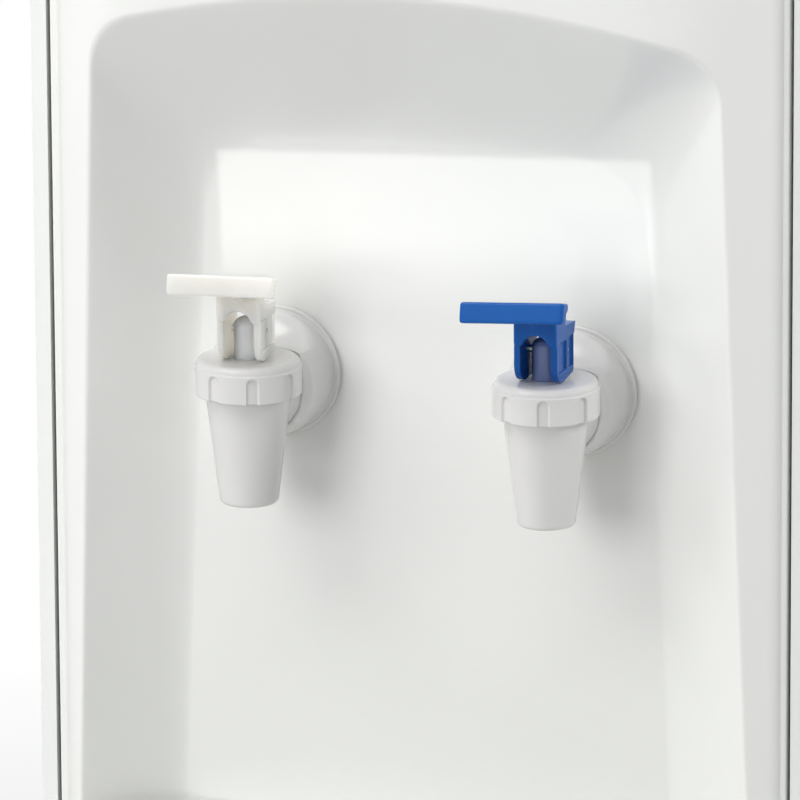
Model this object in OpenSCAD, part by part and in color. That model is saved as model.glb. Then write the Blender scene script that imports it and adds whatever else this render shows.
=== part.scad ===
// Top load water cooler with two lever taps in an arched alcove
// X runs across the front, -Y is the front, Z is up from the floor

/* [Cabinet] */
// Width over the two side panels
body_w = 300; // [290:1:340]
// Depth from the front edge of the side panels to the rear panel
body_d = 300; // [296:1:340]
// Height of the side panels above the floor
body_h = 925; // [922:1:960]
// Height of the feet under the base pan
foot_h = 18; // [12:1:30]
// Thickness of the painted steel sheet
sheet_t = 1.2; // [0.8:0.1:1.6]
// Width of the folded front edge of a side panel
strip_w = 6; // [5:0.5:8]
// Depth of the fold behind that edge
return_d = 14; // [8:1:18]
// Gap between the moulded front and a side panel
front_gap = 1.4; // [0.8:0.1:2]

/* [Moulded front] */
// How far the front bows forward of the side panels
bow = 24; // [18:1:30]
// Power of the bow curve, a larger one gives a flatter face
bow_power = 9; // [6:1:12]
// Wall of the moulded front
shell_t = 3; // [2.5:0.25:3.5]
// Flat lip along each upright edge
edge_lip = 2.4; // [1.5:0.1:3.5]
// Height of the moulded front
fascia_h = 419; // [417:1:430]
// Depth of the side walls of the moulded front
fascia_d = 12; // [10:1:16]

/* [Alcove] */
// Distance from the top edge of the moulded front to the arch
alcove_drop = 45; // [40:1:50]
// Height of the alcove from its floor to the middle of the arch
alcove_h = 360; // [352:1:364]
// Width between the walls below the top corners
alcove_w = 242; // [238:1:248]
// Extra width on each side at the floor
alcove_flare = 11.5; // [6:0.5:12]
// Radius of the arch
arch_r = 432; // [380:1:700]
// Radius of the two top corners
corner_r = 22; // [16:1:30]
// Depth of the back wall behind the front edge of the side panels
alcove_back = 10; // [6:1:14]
// How far a side wall leans in between rim and back wall
side_lean = 36; // [30:1:38]
// How far the ceiling drops between rim and back wall
ceiling_drop = 62; // [50:1:70]

/* [Taps] */
// Distance between the two taps
tap_pitch = 115; // [108:1:118]
// Height of the tap connection below the middle of the arch
tap_drop = 152; // [146:1:160]
// Distance from the back wall to the axis of the spout
tap_reach = 36.6; // [36:0.2:40]
// Diameter of the screw cap
cap_d = 40; // [39:0.5:41]
// Height of the screw cap
cap_h = 13.7; // [13:0.1:15]
// Number of grip notches round the cap
cap_notches = 8; // [6:1:12]
// Turn of the left cap from the middle of a notch
cap_turn_left = 22.5; // [0:0.5:45]
// Turn of the right cap
cap_turn_right = 13; // [0:0.5:45]
// Diameter of the spout under the cap
spout_top_d = 32; // [31:0.5:33]
// Diameter of the spout at its mouth
spout_d = 22; // [21:0.5:25]
// Length of the spout below the cap
spout_l = 42; // [36:1:50]
// Bore of the spout mouth
mouth_d = 17; // [14:0.5:18]
// Diameter of the round arm behind the spout
arm_d = 36; // [34:0.5:37]
// Diameter of the flange on the back wall
flange_d = 50; // [49:1:54]
// Diameter of the flange cover behind its rim
cover_d = 46; // [45.5:0.5:47]
// Diameter of the threaded tail
tail_d = 16; // [14:0.5:18]
// Length of the tail behind the front of the back wall
tail_l = 24; // [22:1:28]

/* [Levers] */
// Diameter of the valve stem
stem_d = 10.5; // [9.5:0.25:10.5]
// Play of the stem in the cap and of the pin in the stem
stem_play = 0.08; // [0.05:0.01:0.1]
// Height of the lever pin above the cap
pin_h = 11; // [10.5:0.25:12]
// Diameter of the lever pin
pin_d = 3; // [2.5:0.25:3.25]
// Width over the two legs of the lever
fork_w = 16.8; // [16.4:0.2:18]
// Thickness of a leg
leg_t = 2.5; // [2:0.1:2.5]
// Width of the front bar of the paddle
bar_w = 39; // [34:0.5:44]
// Height of the front bar
bar_h = 7.4; // [6:0.2:8]
// Distance from the pin to the front of the bar
bar_reach = 35; // [30:0.5:40]
// Slope of the paddle at rest
paddle_tilt = 16; // [12:1:20]
// Sideways cant of the paddle on its fork
paddle_cant = 2; // [0:0.5:3]

/* [Drip tray] */
// How far the tray reaches in front of the side panels
tray_out = 92; // [80:1:110]
// Half width of the tray at its widest
tray_half = 118; // [105:1:122]
// Height of the tray
tray_h = 36; // [30:1:44]
// Wall of the tray
tray_t = 2.5; // [2:0.25:3]
// Width of a slot in the grille
slot_w = 4; // [3:0.5:5]
// Distance between slots
slot_pitch = 9; // [8:0.5:12]

/* [Top] */
// Height of the top cover above the side panels
top_h = 34; // [30:1:40]
// Inner radius of the bottle collar
collar_r = 112; // [108:1:114]
// Wall of the bottle collar
collar_t = 7; // [6:0.5:8]
// Height of the collar above the top cover
collar_h = 12; // [8:1:18]
// Inner radius of the neck that takes the bottle
neck_r = 31; // [28:1:34]
// Depth of the bottle funnel
funnel_depth = 46; // [40:1:50]

/* [Cooling system] */
// Height of the cold tank
tank_h = 190; // [186:1:196]
// Turns of the evaporator round the tank
coil_turns = 6; // [4:1:6]
// Distance between evaporator turns
coil_pitch = 10; // [9:0.5:11]
// Radius of the compressor shell
compressor_r = 56; // [48:1:58]
// Height of the compressor shell
compressor_h = 128; // [110:1:140]
// Number of condenser passes
condenser_passes = 10; // [6:2:12]
// Distance between condenser passes
condenser_pitch = 44; // [36:1:46]

/* [Door] */
// Gap above and below the door
door_gap = 4; // [3:0.5:6]
// Depth of the door behind the front edge of the side panels
door_d = 18; // [14:1:20]
// Diameter of a hinge pin
hinge_d = 5; // [4:0.5:6]
// Depth of the storage liner
liner_d = 130; // [110:1:132]

/* [Hidden] */

$fn = 48;
white = [0.93, 0.94, 0.92];
tap_white = [0.90, 0.90, 0.91];
ivory = [0.92, 0.91, 0.87];
blue = [0.17, 0.42, 0.72];
steel = [0.78, 0.79, 0.80];
copper = [0.72, 0.45, 0.30];
black = [0.10, 0.10, 0.11];
rubber = [0.20, 0.20, 0.21];

// Flush fit of two moulded pieces, and the seat that a loose piece rests on
fit = 0.3;
half_w = body_w / 2;
half_front = half_w - strip_w - front_gap;
half_bow = half_front - edge_lip;
bow_steps = 14;
fascia_z = body_h - fascia_h;
alcove_top = body_h - alcove_drop;
alcove_z = alcove_top - alcove_h;
tap_z = alcove_top - tap_drop;

// Condenser: tube, wires and their distance from the rear panel
condenser_tube_r = 2.5;
wire_r = 0.8;
wire_pitch = 11;
clip_l = 12;
condenser_w = body_w - 70;
rear_y = body_d + sheet_t;
condenser_y = rear_y + clip_l + condenser_tube_r;
depth_behind = condenser_y + condenser_tube_r + 2 * wire_r;
// The middle of the whole depth, tray to condenser, lies on the origin
y_front = (tray_out - depth_behind) / 2;

// Alcove
half_alcove = alcove_w / 2;
back_arch_r = 900;
back_corner_r = 30;
arch_steps = 12;
corner_steps = 6;
tub_steps = 8;

// Taps
axis_y = alcove_back - tap_reach;
cap_top_z = tap_z + cap_h;
tap_x = tap_pitch / 2;
cap_skirt_t = 3.4;
cap_plate_t = 3;
thread_gap = 0.3;
collar_top_z = cap_top_z - cap_plate_t - fit;
chamber_r = 11.5;
arm_front = 1.5;
flange_t = 2.5;
cover_l = 27.6;
cover_front_r = arm_d / 2 + 1.4;
nose_r = 12;
notch_r = 2.6;
notch_out = 1.5;
pocket_gap = 0.7;
water_r = 4;
seat_z = tap_z - 6;
stem_foot_r = 9.5;
stem_foot_t = 3;
spring_r = 7.6;
spring_wire = 0.5;
spring_turns = 4;
foot_r = 7;
foot_front = 12;
foot_clear = 0.25;
fork_back = 7;
block_z = 15.8;
block_front = 13;
block_back = 8;
arch_w = 10;
rib_half = 1.2;
front_panel_l = 8.4;
rear_panel_l = 5;
panel_z = 4.5;
panel_t = 0.8;
roof_z = 21;
paddle_z = 20.5;
plate_t = 3.5;

// Tray
tray_z = alcove_z + fit;
tray_back = alcove_back - 0.6;
tray_shoulder = 14;
ledge = 1.6;
grille_t = 3;
hook_x = 50;
hook_w = 14;
hook_t = 3;
hook_lift = 8;
hook_z = tray_z + tray_h - 10;

// Top
top_z = body_h + top_h;
collar_z = top_z + collar_h;
hose_room = 30;
rear_room = 48;
foam_t = 18;
tank_r = (body_d - alcove_back - tail_l - hose_room - rear_room) / 2 - foam_t;
well_y = alcove_back + tail_l + hose_room + foam_t + tank_r;
seat_t = 2.5;
probe_r = 9;
probe_l = 44;

// Tank
tank_t = 1.5;
lid_t = 4;
tank_top = body_h - 20;
tank_z = tank_top - tank_h;
baffle_h = 82;
baffle_t = 3;
foam_w = 2 * (tank_r + 28);
foam_z = tank_z - 24;
foam_y0 = well_y - tank_r - foam_t;
foam_y1 = well_y + tank_r + foam_t;
coil_tube_r = 3.5;
coil_steps = 20;
coil_r = (tank_r + coil_tube_r + 0.4) / cos(180 / coil_steps);
coil_room = 2 * coil_tube_r + 2.2;
nipple_r = 5;
nipple_l = 8;
ambient_nipple_z = tank_z + baffle_h + 18;
tube_r = 6.5;
shelf_h = 14;

// Door, base pan and storage
pan_t = 1.5;
pan_lip = 4;
hinge_t = 2;
door_pin_l = 8;
door_z0 = foot_h + pan_lip + hinge_t + 1;
door_z1 = fascia_z - door_gap;
hinge_x = half_front - 8;
hinge_y = -3;
liner_y = door_d + 3;
liner_w = 2 * half_w - 2 * sheet_t - 2 * return_d + 4;
liner_z0 = 60;
liner_t = 2;

// Screws of the rear panel
screw_rows = 5;
screw_x = half_w - 8;
screw_edge = 30;
screw_r = 1.2;
screw_l = 6;
screw_head_r = 4;

// Compressor
comp_y = body_d - compressor_r - 12;
mount_h = 12;
comp_z = foot_h + pan_t + mount_h;

function lerp(a, b, t) = a + (b - a) * t;
function unit(v) = v / norm(v);
function bow_y(x, half = half_bow) = -bow * (1 - pow(min(1, abs(x) / half), bow_power));

module place() translate([0, y_front, 0]) children();
module at_screws() for (x = [-screw_x, screw_x], i = [0:screw_rows - 1])
  translate([x, rear_y, foot_h + screw_edge + i * (body_h - foot_h - 2 * screw_edge) / (screw_rows - 1)])
    rotate([-90, 0, 0]) children();
module screw_holes() at_screws() translate([0, 0, -screw_l - 2]) cylinder(r = screw_r + 0.05, h = screw_l + 4, $fn = 16);
module at_tap(side) translate([side * tap_x, axis_y, cap_top_z]) children();

// Closed skin over a list of sections with the same number of points, each end fanned from its middle
module loft(sections) {
  n = len(sections[0]);
  m = len(sections);
  start = [for (k = [0:2]) let (s = [for (p = sections[0]) p[k]]) (min(s) + max(s)) / 2];
  end = [for (k = [0:2]) let (s = [for (p = sections[m - 1]) p[k]]) (min(s) + max(s)) / 2];
  points = concat([for (s = sections) each s], [start, end]);
  sides = [for (k = [0:m - 2], i = [0:n - 1]) let (j = (i + 1) % n)
    each [[k * n + i, k * n + j, (k + 1) * n + j], [k * n + i, (k + 1) * n + j, (k + 1) * n + i]]];
  caps = [for (i = [0:n - 1]) let (j = (i + 1) % n)
    each [[m * n, j, i], [m * n + 1, (m - 1) * n + i, (m - 1) * n + j]]];
  polyhedron(points, concat(sides, caps));
}

// Points of a route with its corners rounded
function rounded(a, b, c, r, n = 5) =
  let (u = unit(a - b), v = unit(c - b), ang = acos(u * v), d = r / tan(ang / 2),
    mid = b + unit(u + v) * (r / sin(ang / 2)), e = unit(b + u * d - mid), f = unit(b + v * d - mid),
    w = 180 - ang)
  [for (i = [0:n]) let (t = i / n) mid + r * (sin((1 - t) * w) * e + sin(t * w) * f) / sin(w)];
function route(p, r) = concat([p[0]], [for (i = [1:len(p) - 2]) each rounded(p[i - 1], p[i], p[i + 1], r)],
  [p[len(p) - 1]]);

// Round tube along points, with normals carried from ring to ring
module sweep(path, r, sides = 8) {
  n = len(path);
  tangents = [for (i = [0:n - 1]) unit(path[min(i + 1, n - 1)] - path[max(i - 1, 0)])];
  first = abs(tangents[0][2]) < 0.9 ? [0, 0, 1] : [1, 0, 0];
  normals = [for (i = 0, v = unit(first - (first * tangents[0]) * tangents[0]); i < n;
    i = i + 1, v = i < n ? unit(v - (v * tangents[i]) * tangents[i]) : v) v];
  rings = [for (i = [0:n - 1]) let (b = cross(tangents[i], normals[i]))
    [for (k = [0:sides - 1]) let (a = -360 * k / sides) path[i] + r * (cos(a) * normals[i] + sin(a) * b)]];
  loft(rings);
}
function helix(r, pitch, turns, steps) = [for (i = [0:turns * steps]) let (a = 360 * i / steps)
  [r * cos(a), r * sin(a), pitch * i / steps]];

// Outline of the bowed front, open or filled, t inside the outer face
module front_profile(t, rear) {
  h = half_front - t;
  polygon(concat([[-h, rear], [-h, t]],
    [for (i = [-bow_steps:bow_steps]) let (x = (half_bow - t) * sin(90 * i / bow_steps)) [x, bow_y(x) + t]],
    [[h, t], [h, rear]]));
}

// Arched outline with two round top corners, from the lower right round to the lower left
function alcove_outline(half, half_floor, top, floor, r_arch, r) =
  let (mid = top - r_arch, cx = half - r, cz = mid + sqrt(pow(r_arch - r, 2) - cx * cx),
    a = atan2(cz - mid, cx))
  concat([[half_floor, floor]],
    [for (i = [0:corner_steps]) let (p = a * i / corner_steps) [cx + r * cos(p), cz + r * sin(p)]],
    [for (i = [1:arch_steps - 1]) let (p = a + (180 - 2 * a) * i / arch_steps)
      [r_arch * cos(p), mid + r_arch * sin(p)]],
    [for (i = [corner_steps:-1:0]) let (p = a * i / corner_steps) [-cx - r * cos(p), cz + r * sin(p)]],
    [[-half_floor, floor]]);

// One ring of the alcove at t from rim to back wall, grown outward by the wall thickness
function alcove_ring(t, grow, lift) =
  let (rim = alcove_outline(half_alcove + grow, half_alcove + alcove_flare + grow, alcove_top + grow,
      alcove_z - grow, arch_r + grow, corner_r + grow),
    back = alcove_outline(half_alcove - side_lean + grow, half_alcove + alcove_flare - side_lean + grow,
      alcove_top - ceiling_drop + grow, alcove_z - grow, back_arch_r + grow, back_corner_r + grow),
    depth = t * (2 - t), inset = t * (1.6 - 0.6 * t))
  [for (i = [0:len(rim) - 1]) let (p = rim[i], q = back[i])
    [lerp(p[0], q[0], inset), lerp(bow_y(p[0]) + lift, alcove_back + grow, depth), lerp(p[1], q[1], inset)]];
module alcove_tub(grow, lift) {
  front = [for (p = alcove_ring(0, grow, lift)) grow > 0 ? p : p - [0, bow, 0]];
  loft(concat(grow > 0 ? [] : [front], [for (i = [0:tub_steps]) alcove_ring(i / tub_steps, grow, lift)]));
}

// Casing
module side_panel() difference() {
  translate([0, 0, foot_h]) linear_extrude(body_h - foot_h) union() {
    translate([half_w - sheet_t, 0]) square([sheet_t, body_d]);
    translate([half_w - strip_w, 0]) square([strip_w, sheet_t]);
    translate([half_w - strip_w, 0]) square([sheet_t, return_d]);
    translate([half_w - return_d, body_d - sheet_t]) square([return_d, sheet_t]);
  }
  screw_holes();
}
module side_panel_right() color(white) place() side_panel();
module side_panel_left() color(white) place() mirror([1, 0, 0]) side_panel();

module front_fascia() color(white) place() difference() {
  union() {
    translate([0, 0, fascia_z]) linear_extrude(body_h - fascia_z) difference() {
      front_profile(0, fascia_d);
      front_profile(shell_t, fascia_d + 1);
    }
    for (z = [fascia_z, body_h - shell_t])
      translate([0, 0, z]) linear_extrude(shell_t) front_profile(0.5, fascia_d);
    alcove_tub(shell_t, 0.5);
  }
  alcove_tub(0, 0);
  for (s = [-1, 1]) {
    translate([s * tap_x, alcove_back, tap_z]) rotate([90, 0, 0])
      cylinder(d = tail_d + 2 * fit, h = 4 * shell_t, center = true);
    translate([s * hook_x - hook_w / 2 - 0.5, alcove_back - shell_t, hook_z - 0.5])
      cube([hook_w + 1, 3 * shell_t, hook_t + hook_lift + 1]);
  }
}

// Plan of the top cover, pulled in by an inset, at height z
top_pts = 24;
function top_ring(inset, z) =
  let (h = half_w - inset)
  concat([for (i = [top_pts / 2:-1:-top_pts / 2]) let (x = h * sin(90 * i / (top_pts / 2)))
      [x, bow_y(x, h) * (h / half_w) + inset * 0.6, z]],
    [[-h, well_y, z], [-h, rear_y - inset, z], [h, rear_y - inset, z], [h, well_y, z]]);
module top_cover() color(white) place() difference() {
  union() {
    loft([for (s = [[0, 0], [0, 0.5], [1.2, 0.7], [4, 0.87], [9, 0.97], [16, 1]])
      [for (p = top_ring(s[0], body_h + s[1] * top_h)) p]]);
    translate([0, well_y, top_z - 6]) rotate_extrude($fn = 96) polygon([[collar_r, 0], [collar_r + collar_t + 5, 0],
      [collar_r + collar_t + 1, 6], [collar_r + collar_t, 9], [collar_r + collar_t, collar_h + 4],
      [collar_r + collar_t - 2, collar_h + 6], [collar_r, collar_h + 6]]);
  }
  translate([0, well_y, body_h - 1]) cylinder(r = collar_r, h = top_h + collar_h + 2, $fn = 96);
  translate([0, 0, body_h - 1]) linear_extrude(top_h - 7) difference() {
    translate([-half_w + 4, 12]) square([body_w - 8, body_d - 16]);
    translate([0, well_y]) circle(r = collar_r + collar_t, $fn = 96);
  }
}
module bottle_seat() color(white) place() translate([0, well_y, 0]) rotate_extrude($fn = 96) polygon([
  [collar_r - fit - seat_t, collar_z + seat_t], [collar_r + collar_t - 2, collar_z + seat_t],
  [collar_r + collar_t - 2, collar_z + 0.05], [collar_r - fit, collar_z + 0.05],
  [collar_r - fit, collar_z - 8], [neck_r + seat_t, collar_z - funnel_depth], [neck_r + seat_t, tank_top + lid_t + fit],
  [neck_r, tank_top + lid_t + fit], [neck_r, collar_z - funnel_depth + 1.5], [collar_r - fit - seat_t, collar_z - 7]]);
module feed_probe() color(white) place() translate([0, well_y, 0]) difference() {
  union() {
    translate([0, 0, tank_top - 14]) cylinder(r1 = probe_r + 5, r2 = probe_r + 8, h = 14 + lid_t);
    translate([0, 0, tank_top + lid_t]) cylinder(r = neck_r - fit, h = 3);
    translate([0, 0, tank_top + lid_t]) cylinder(r1 = probe_r, r2 = probe_r - 2, h = probe_l);
    translate([0, 0, tank_top + lid_t + probe_l]) sphere(r = probe_r - 2);
  }
  translate([0, 0, tank_top - 15]) cylinder(r = probe_r - 4, h = probe_l + 14);
  for (a = [0, 90]) rotate([90, 0, a]) translate([0, tank_top + lid_t + probe_l - 10, 0])
    cylinder(r = 3, h = 3 * probe_r, center = true, $fn = 24);
}

vent_slots = 9;
switch_x = -half_w + 66;
switch_z = 260;
knob_x = -half_w + 110;
cord_x = -half_w + 46;
cord_z = foot_h + 50;
drain_z = 200;
module rear_hole(x, z, r) translate([x, body_d - 1, z]) rotate([-90, 0, 0]) cylinder(r = r, h = sheet_t + 2);
module rear_panel() color(white) place() difference() {
  translate([-half_w + 2, body_d, foot_h + 1]) cube([body_w - 4, sheet_t, body_h - foot_h - 2]);
  for (i = [0:vent_slots - 1], s = [-1, 1])
    translate([s * 50 - 30, body_d - 1, foot_h + 46 + i * 14]) cube([60, sheet_t + 2, 5]);
  translate([switch_x - switch_w / 2, body_d - 1, switch_z - switch_h / 2]) cube([switch_w, sheet_t + 2, switch_h]);
  rear_hole(knob_x, switch_z, shaft_r + 0.5);
  rear_hole(cord_x, cord_z, gland_r);
  rear_hole(0, drain_z, tube_r + 0.5);
  rear_hole(riser_x, port_z, 5);
  rear_hole(drier_x, port_z + 27, 5);
  screw_holes();
}
module base_pan() color(steel) place() translate([0, 0, foot_h]) difference() {
  translate([-half_w + sheet_t + 0.4, sheet_t, 0]) cube([body_w - 2 * sheet_t - 0.8, body_d - 2 * sheet_t - 0.4, 26]);
  translate([-half_w + sheet_t + 0.4 + pan_t, sheet_t + pan_t, pan_t])
    cube([body_w - 2 * sheet_t - 0.8 - 2 * pan_t, body_d - 2 * sheet_t - 0.4 - 2 * pan_t, 30]);
  translate([-half_w, -1, pan_lip]) cube([body_w, liner_y + 1, 30]);
  // Room for the folded front edges of the side panels
  for (s = [-1, 1]) translate([s * half_w - strip_w - 0.4, -1, -1]) cube([2 * strip_w + 0.8, return_d + 1.4, 30]);
  for (i = [0:7], s = [-1, 1]) translate([s * 60 - 25, comp_y - 42 + i * 12, -1]) cube([50, 5, pan_t + 2]);
}
foot_x = half_w - 30;
module feet() color(rubber) place() for (x = [-foot_x, foot_x], y = [34, body_d - 34]) translate([x, y, 0])
  rotate_extrude() polygon([[0, 0], [12, 0], [14, 2], [17, foot_h], [0, foot_h]]);

// Door
module door() color(white) place() difference() {
  translate([0, 0, door_z0]) linear_extrude(door_z1 - door_z0) front_profile(0, door_d);
  // Hollow door, with four vent holes along its lower edge
  translate([0, 0, door_z0 + 9]) linear_extrude(door_z1 - door_z0 - 18) difference() {
    front_profile(shell_t, door_d - shell_t);
    translate([-half_front, -bow]) square([20, bow + door_d]);
    translate([half_front - 16, -bow]) square([16, bow + door_d]);
  }
  for (x = [-75:50:75]) translate([x, 4, door_z0 - 1]) cylinder(d = 6, h = 12, $fn = 24);
  translate([-half_front, 2, door_z1 - 70]) rotate([0, 90, 0]) cylinder(r = 26, h = 22, center = true);
  for (z = [door_z0 - 1, door_z1 - 8]) translate([hinge_x, hinge_y, z])
    cylinder(d = hinge_d + 2 * stem_play, h = 9);
  // Pocket for the magnet
  translate([-half_front + 8, door_d - 5, magnet_z - 14.1]) cube([10.2, 6, 28.2]);
}
module hinge(pin_z) {
  translate([hinge_x - 18, hinge_y - 4, 0]) cube([24, door_d + 4 - hinge_y, hinge_t]);
  translate([hinge_x, hinge_y, pin_z]) cylinder(d = hinge_d, h = hinge_t + door_pin_l);
}
module door_hinges() color(steel) place() {
  translate([0, 0, fascia_z - hinge_t]) hinge(-door_pin_l);
  translate([0, 0, foot_h + pan_lip]) {
    hinge(0);
    translate([hinge_x - 18, 6, pan_t - pan_lip]) cube([24, door_d - 6, pan_lip - pan_t]);
  }
}
magnet_z = (door_z0 + door_z1) / 2 + 60;
module door_magnet() color(steel) place() translate([-half_front + 8.1, door_d - 5, magnet_z - 14]) cube([10, 5, 28]);
module magnet_catch() color(white) place() translate([-liner_w / 2 + liner_t + 0.1, door_d + fit, magnet_z - 18])
  cube([12, 12, 36]);
module storage_liner() color(white) place() translate([0, liner_y, liner_z0]) difference() {
  union() {
    translate([-liner_w / 2, 0, 0]) cube([liner_w, liner_d, fascia_z - liner_z0 - 12]);
    translate([-half_w + sheet_t + fit, 0, -8]) cube([body_w - 2 * sheet_t - 2 * fit, liner_t, fascia_z - liner_z0 + 8]);
  }
  translate([-liner_w / 2 + liner_t, -1, liner_t])
    cube([liner_w - 2 * liner_t, liner_d + 1 - liner_t, fascia_z - liner_z0 - 12 - 2 * liner_t]);
}

// Drip tray
function tray_point(a, inset) = let (c = cos(a), s = sin(a))
  [(tray_half - inset) * sign(c) * pow(abs(c), 0.8), -tray_shoulder - (tray_out - tray_shoulder - inset) * pow(s, 0.8)];
module tray_plan(inset) polygon(concat([[half_rear - inset, tray_back - inset]],
  [for (i = [0:20]) tray_point(9 * i, inset)], [[-half_rear + inset, tray_back - inset]]));
half_rear = half_alcove + alcove_flare - side_lean - 8;
module drip_tray() color(white) place() {
  translate([0, 0, tray_z]) difference() {
    linear_extrude(tray_h) tray_plan(0);
    translate([0, 0, tray_t]) linear_extrude(tray_h) tray_plan(tray_t + ledge);
    translate([0, 0, tray_h - grille_t - 1]) linear_extrude(tray_h) tray_plan(tray_t);
  }
  for (s = [-1, 1]) translate([s * hook_x - hook_w / 2, 0, hook_z]) {
    translate([0, tray_back - 0.5, 0]) cube([hook_w, alcove_back + shell_t + 3.9 - tray_back, hook_t]);
    translate([0, alcove_back + shell_t + 0.4, -7]) cube([hook_w, 3, 7 + hook_t]);
  }
}
slot_rows = floor((tray_half - 16) / slot_pitch);
module drip_grille() color(white) place() translate([0, 0, tray_z + tray_h - grille_t - 1 + 0.02])
  linear_extrude(grille_t) difference() {
    tray_plan(tray_t + fit);
    for (i = [-slot_rows:slot_rows]) let (x = i * slot_pitch,
      reach = (tray_out - tray_shoulder - 12) * pow(1 - pow(abs(x) / (tray_half - 4), 2.5), 0.4)) {
      translate([x - slot_w / 2, -tray_shoulder - 26]) square([slot_w, tray_shoulder + 22]);
      if (reach > 36) translate([x - slot_w / 2, -tray_shoulder - reach]) square([slot_w, reach - 31]);
    }
  }

// Tank and tubes
module tank_shelf() color(steel) place() translate([0, 0, foam_z - shelf_h]) difference() {
  translate([-half_w + sheet_t + 0.3, foam_y0 - 8, 0]) cube([body_w - 2 * sheet_t - 0.6, foam_y1 - foam_y0 + 16, shelf_h]);
  translate([-half_w + 2 * sheet_t + 0.3, foam_y0 - 8 + sheet_t, -1])
    cube([body_w - 4 * sheet_t - 0.6, foam_y1 - foam_y0 + 16 - 2 * sheet_t, shelf_h - sheet_t + 1]);
  translate([0, well_y, -1]) cylinder(r = tube_r + 2, h = shelf_h + 2);
}
module cold_tank() color(steel) place() translate([0, well_y, 0]) difference() {
  union() {
    translate([0, 0, tank_z]) cylinder(r = tank_r, h = tank_h, $fn = 96);
    translate([0, 0, tank_top - 3]) cylinder(r = tank_r + 6, h = 3, $fn = 96);
    translate([0, 0, tank_z - nipple_l]) cylinder(r = nipple_r, h = nipple_l + 1);
    for (n = [[-1, ambient_nipple_z], [1, tap_z]])
      translate([n[0] * tap_x, 0, n[1]]) rotate([90, 0, 0]) cylinder(r = nipple_r, h = well_y - foam_y0 + nipple_l);
  }
  translate([0, 0, tank_z + tank_t]) cylinder(r = tank_r - tank_t, h = tank_h, $fn = 96);
  translate([0, 0, tank_z - nipple_l - 1]) cylinder(r = nipple_r - 1, h = nipple_l + 4);
  for (n = [[-1, ambient_nipple_z], [1, tap_z]])
    translate([n[0] * tap_x, 0, n[1]]) rotate([90, 0, 0]) cylinder(r = nipple_r - 1, h = well_y);
}
module tank_lid() color(white) place() translate([0, well_y, tank_top]) difference() {
  union() {
    cylinder(r = tank_r + 6, h = lid_t, $fn = 96);
    translate([0, 0, -5]) cylinder(r = tank_r - tank_t - fit, h = 5, $fn = 96);
  }
  translate([0, 0, -6]) cylinder(r = probe_r + 9, h = lid_t + 8);
}
module tank_baffle() color(white) place() translate([0, well_y, 0]) difference() {
  union() {
    translate([0, 0, tank_z + baffle_h]) cylinder(r = tank_r - tank_t - fit, h = baffle_t, $fn = 96);
    translate([0, 0, tank_z + tank_t]) cylinder(r = 8, h = baffle_h);
  }
  translate([0, 0, tank_z]) cylinder(r = 6, h = baffle_h + 2 * baffle_t);
  for (a = [0:60:300]) rotate(a) translate([12, 0, tank_z + 16]) rotate([0, 90, 0])
    cylinder(r = 3, h = 20, center = true, $fn = 16);
}
coil_z = tank_z + 22;
coil_h = coil_turns * coil_pitch;
port_x = 74;
port_y = foam_y1 + 6;
module foam(y0, y1) difference() {
  translate([-foam_w / 2, y0, foam_z]) cube([foam_w, y1 - y0, tank_top - foam_z - 4]);
  translate([0, well_y, tank_z - fit]) cylinder(r = tank_r + coil_room, h = tank_h + 30, $fn = 96);
  translate([0, well_y, foam_z - 1]) cylinder(r = tube_r + 1, h = 40);
  for (n = [[-1, ambient_nipple_z], [1, tap_z]])
    translate([n[0] * tap_x, well_y - 30, n[1]]) rotate([90, 0, 0]) cylinder(r = nipple_r + fit, h = well_y);
  // Channels for the two ends of the evaporator
  for (e = [[1, coil_z], [-1, coil_z + coil_h]]) translate([0, well_y + tank_r, e[1] - 5]) {
    translate([e[0] > 0 ? -2 : -port_x - 5, 0, 0]) cube([port_x + 7, 10, 10]);
    translate([e[0] * port_x - 5, 0, 0]) cube([10, foam_t + 1, 10]);
  }
}
module tank_insulation() color([0.95, 0.95, 0.93]) place() {
  foam(foam_y0, well_y - 0.1);
  foam(well_y + 0.1, foam_y1);
}
function coil_end(side, z) = [[side * port_x, port_y - well_y, z], [side * port_x, coil_r, z], [side * 9, coil_r, z]];
function reverse(p) = [for (i = [len(p) - 1:-1:0]) p[i]];
module evaporator_coil() color(copper) place() translate([0, well_y, coil_z])
  sweep(concat(route(coil_end(1, 0), 8),
    [for (i = [0:coil_turns * coil_steps]) let (a = 90 + 360 * i / coil_steps)
      [coil_r * cos(a), coil_r * sin(a), coil_pitch * i / coil_steps]],
    reverse(route(coil_end(-1, coil_h), 8))), coil_tube_r, 6);
module hose(points, bend) difference() {
  n = len(points);
  sweep(route(points, bend), tube_r, 12);
  for (e = [[points[0], points[1]], [points[n - 1], points[n - 2]]]) let (v = unit(e[1] - e[0]))
    translate(e[0]) rotate([0, acos(v[2]), atan2(v[1], v[0])]) translate([0, 0, -1])
      cylinder(r = nipple_r + 0.05, h = nipple_l + 1.3);
}
tail_end = alcove_back + tail_l;
module ambient_tube() color([0.92, 0.92, 0.9]) place() hose([[-tap_x, tail_end - nipple_l, tap_z],
  [-tap_x, tail_end + 13, tap_z], [-tap_x, tail_end + 13, ambient_nipple_z],
  [-tap_x, foam_y0 - 0.2, ambient_nipple_z]], 8.5);
module cold_tube() color([0.92, 0.92, 0.9]) place() translate([tap_x, tail_end - nipple_l, tap_z])
  rotate([-90, 0, 0]) difference() {
    cylinder(r = tube_r, h = foam_y0 - 0.2 - tail_end + nipple_l);
    translate([0, 0, -1]) cylinder(r = nipple_r + 0.05, h = foam_y0);
  }
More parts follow.
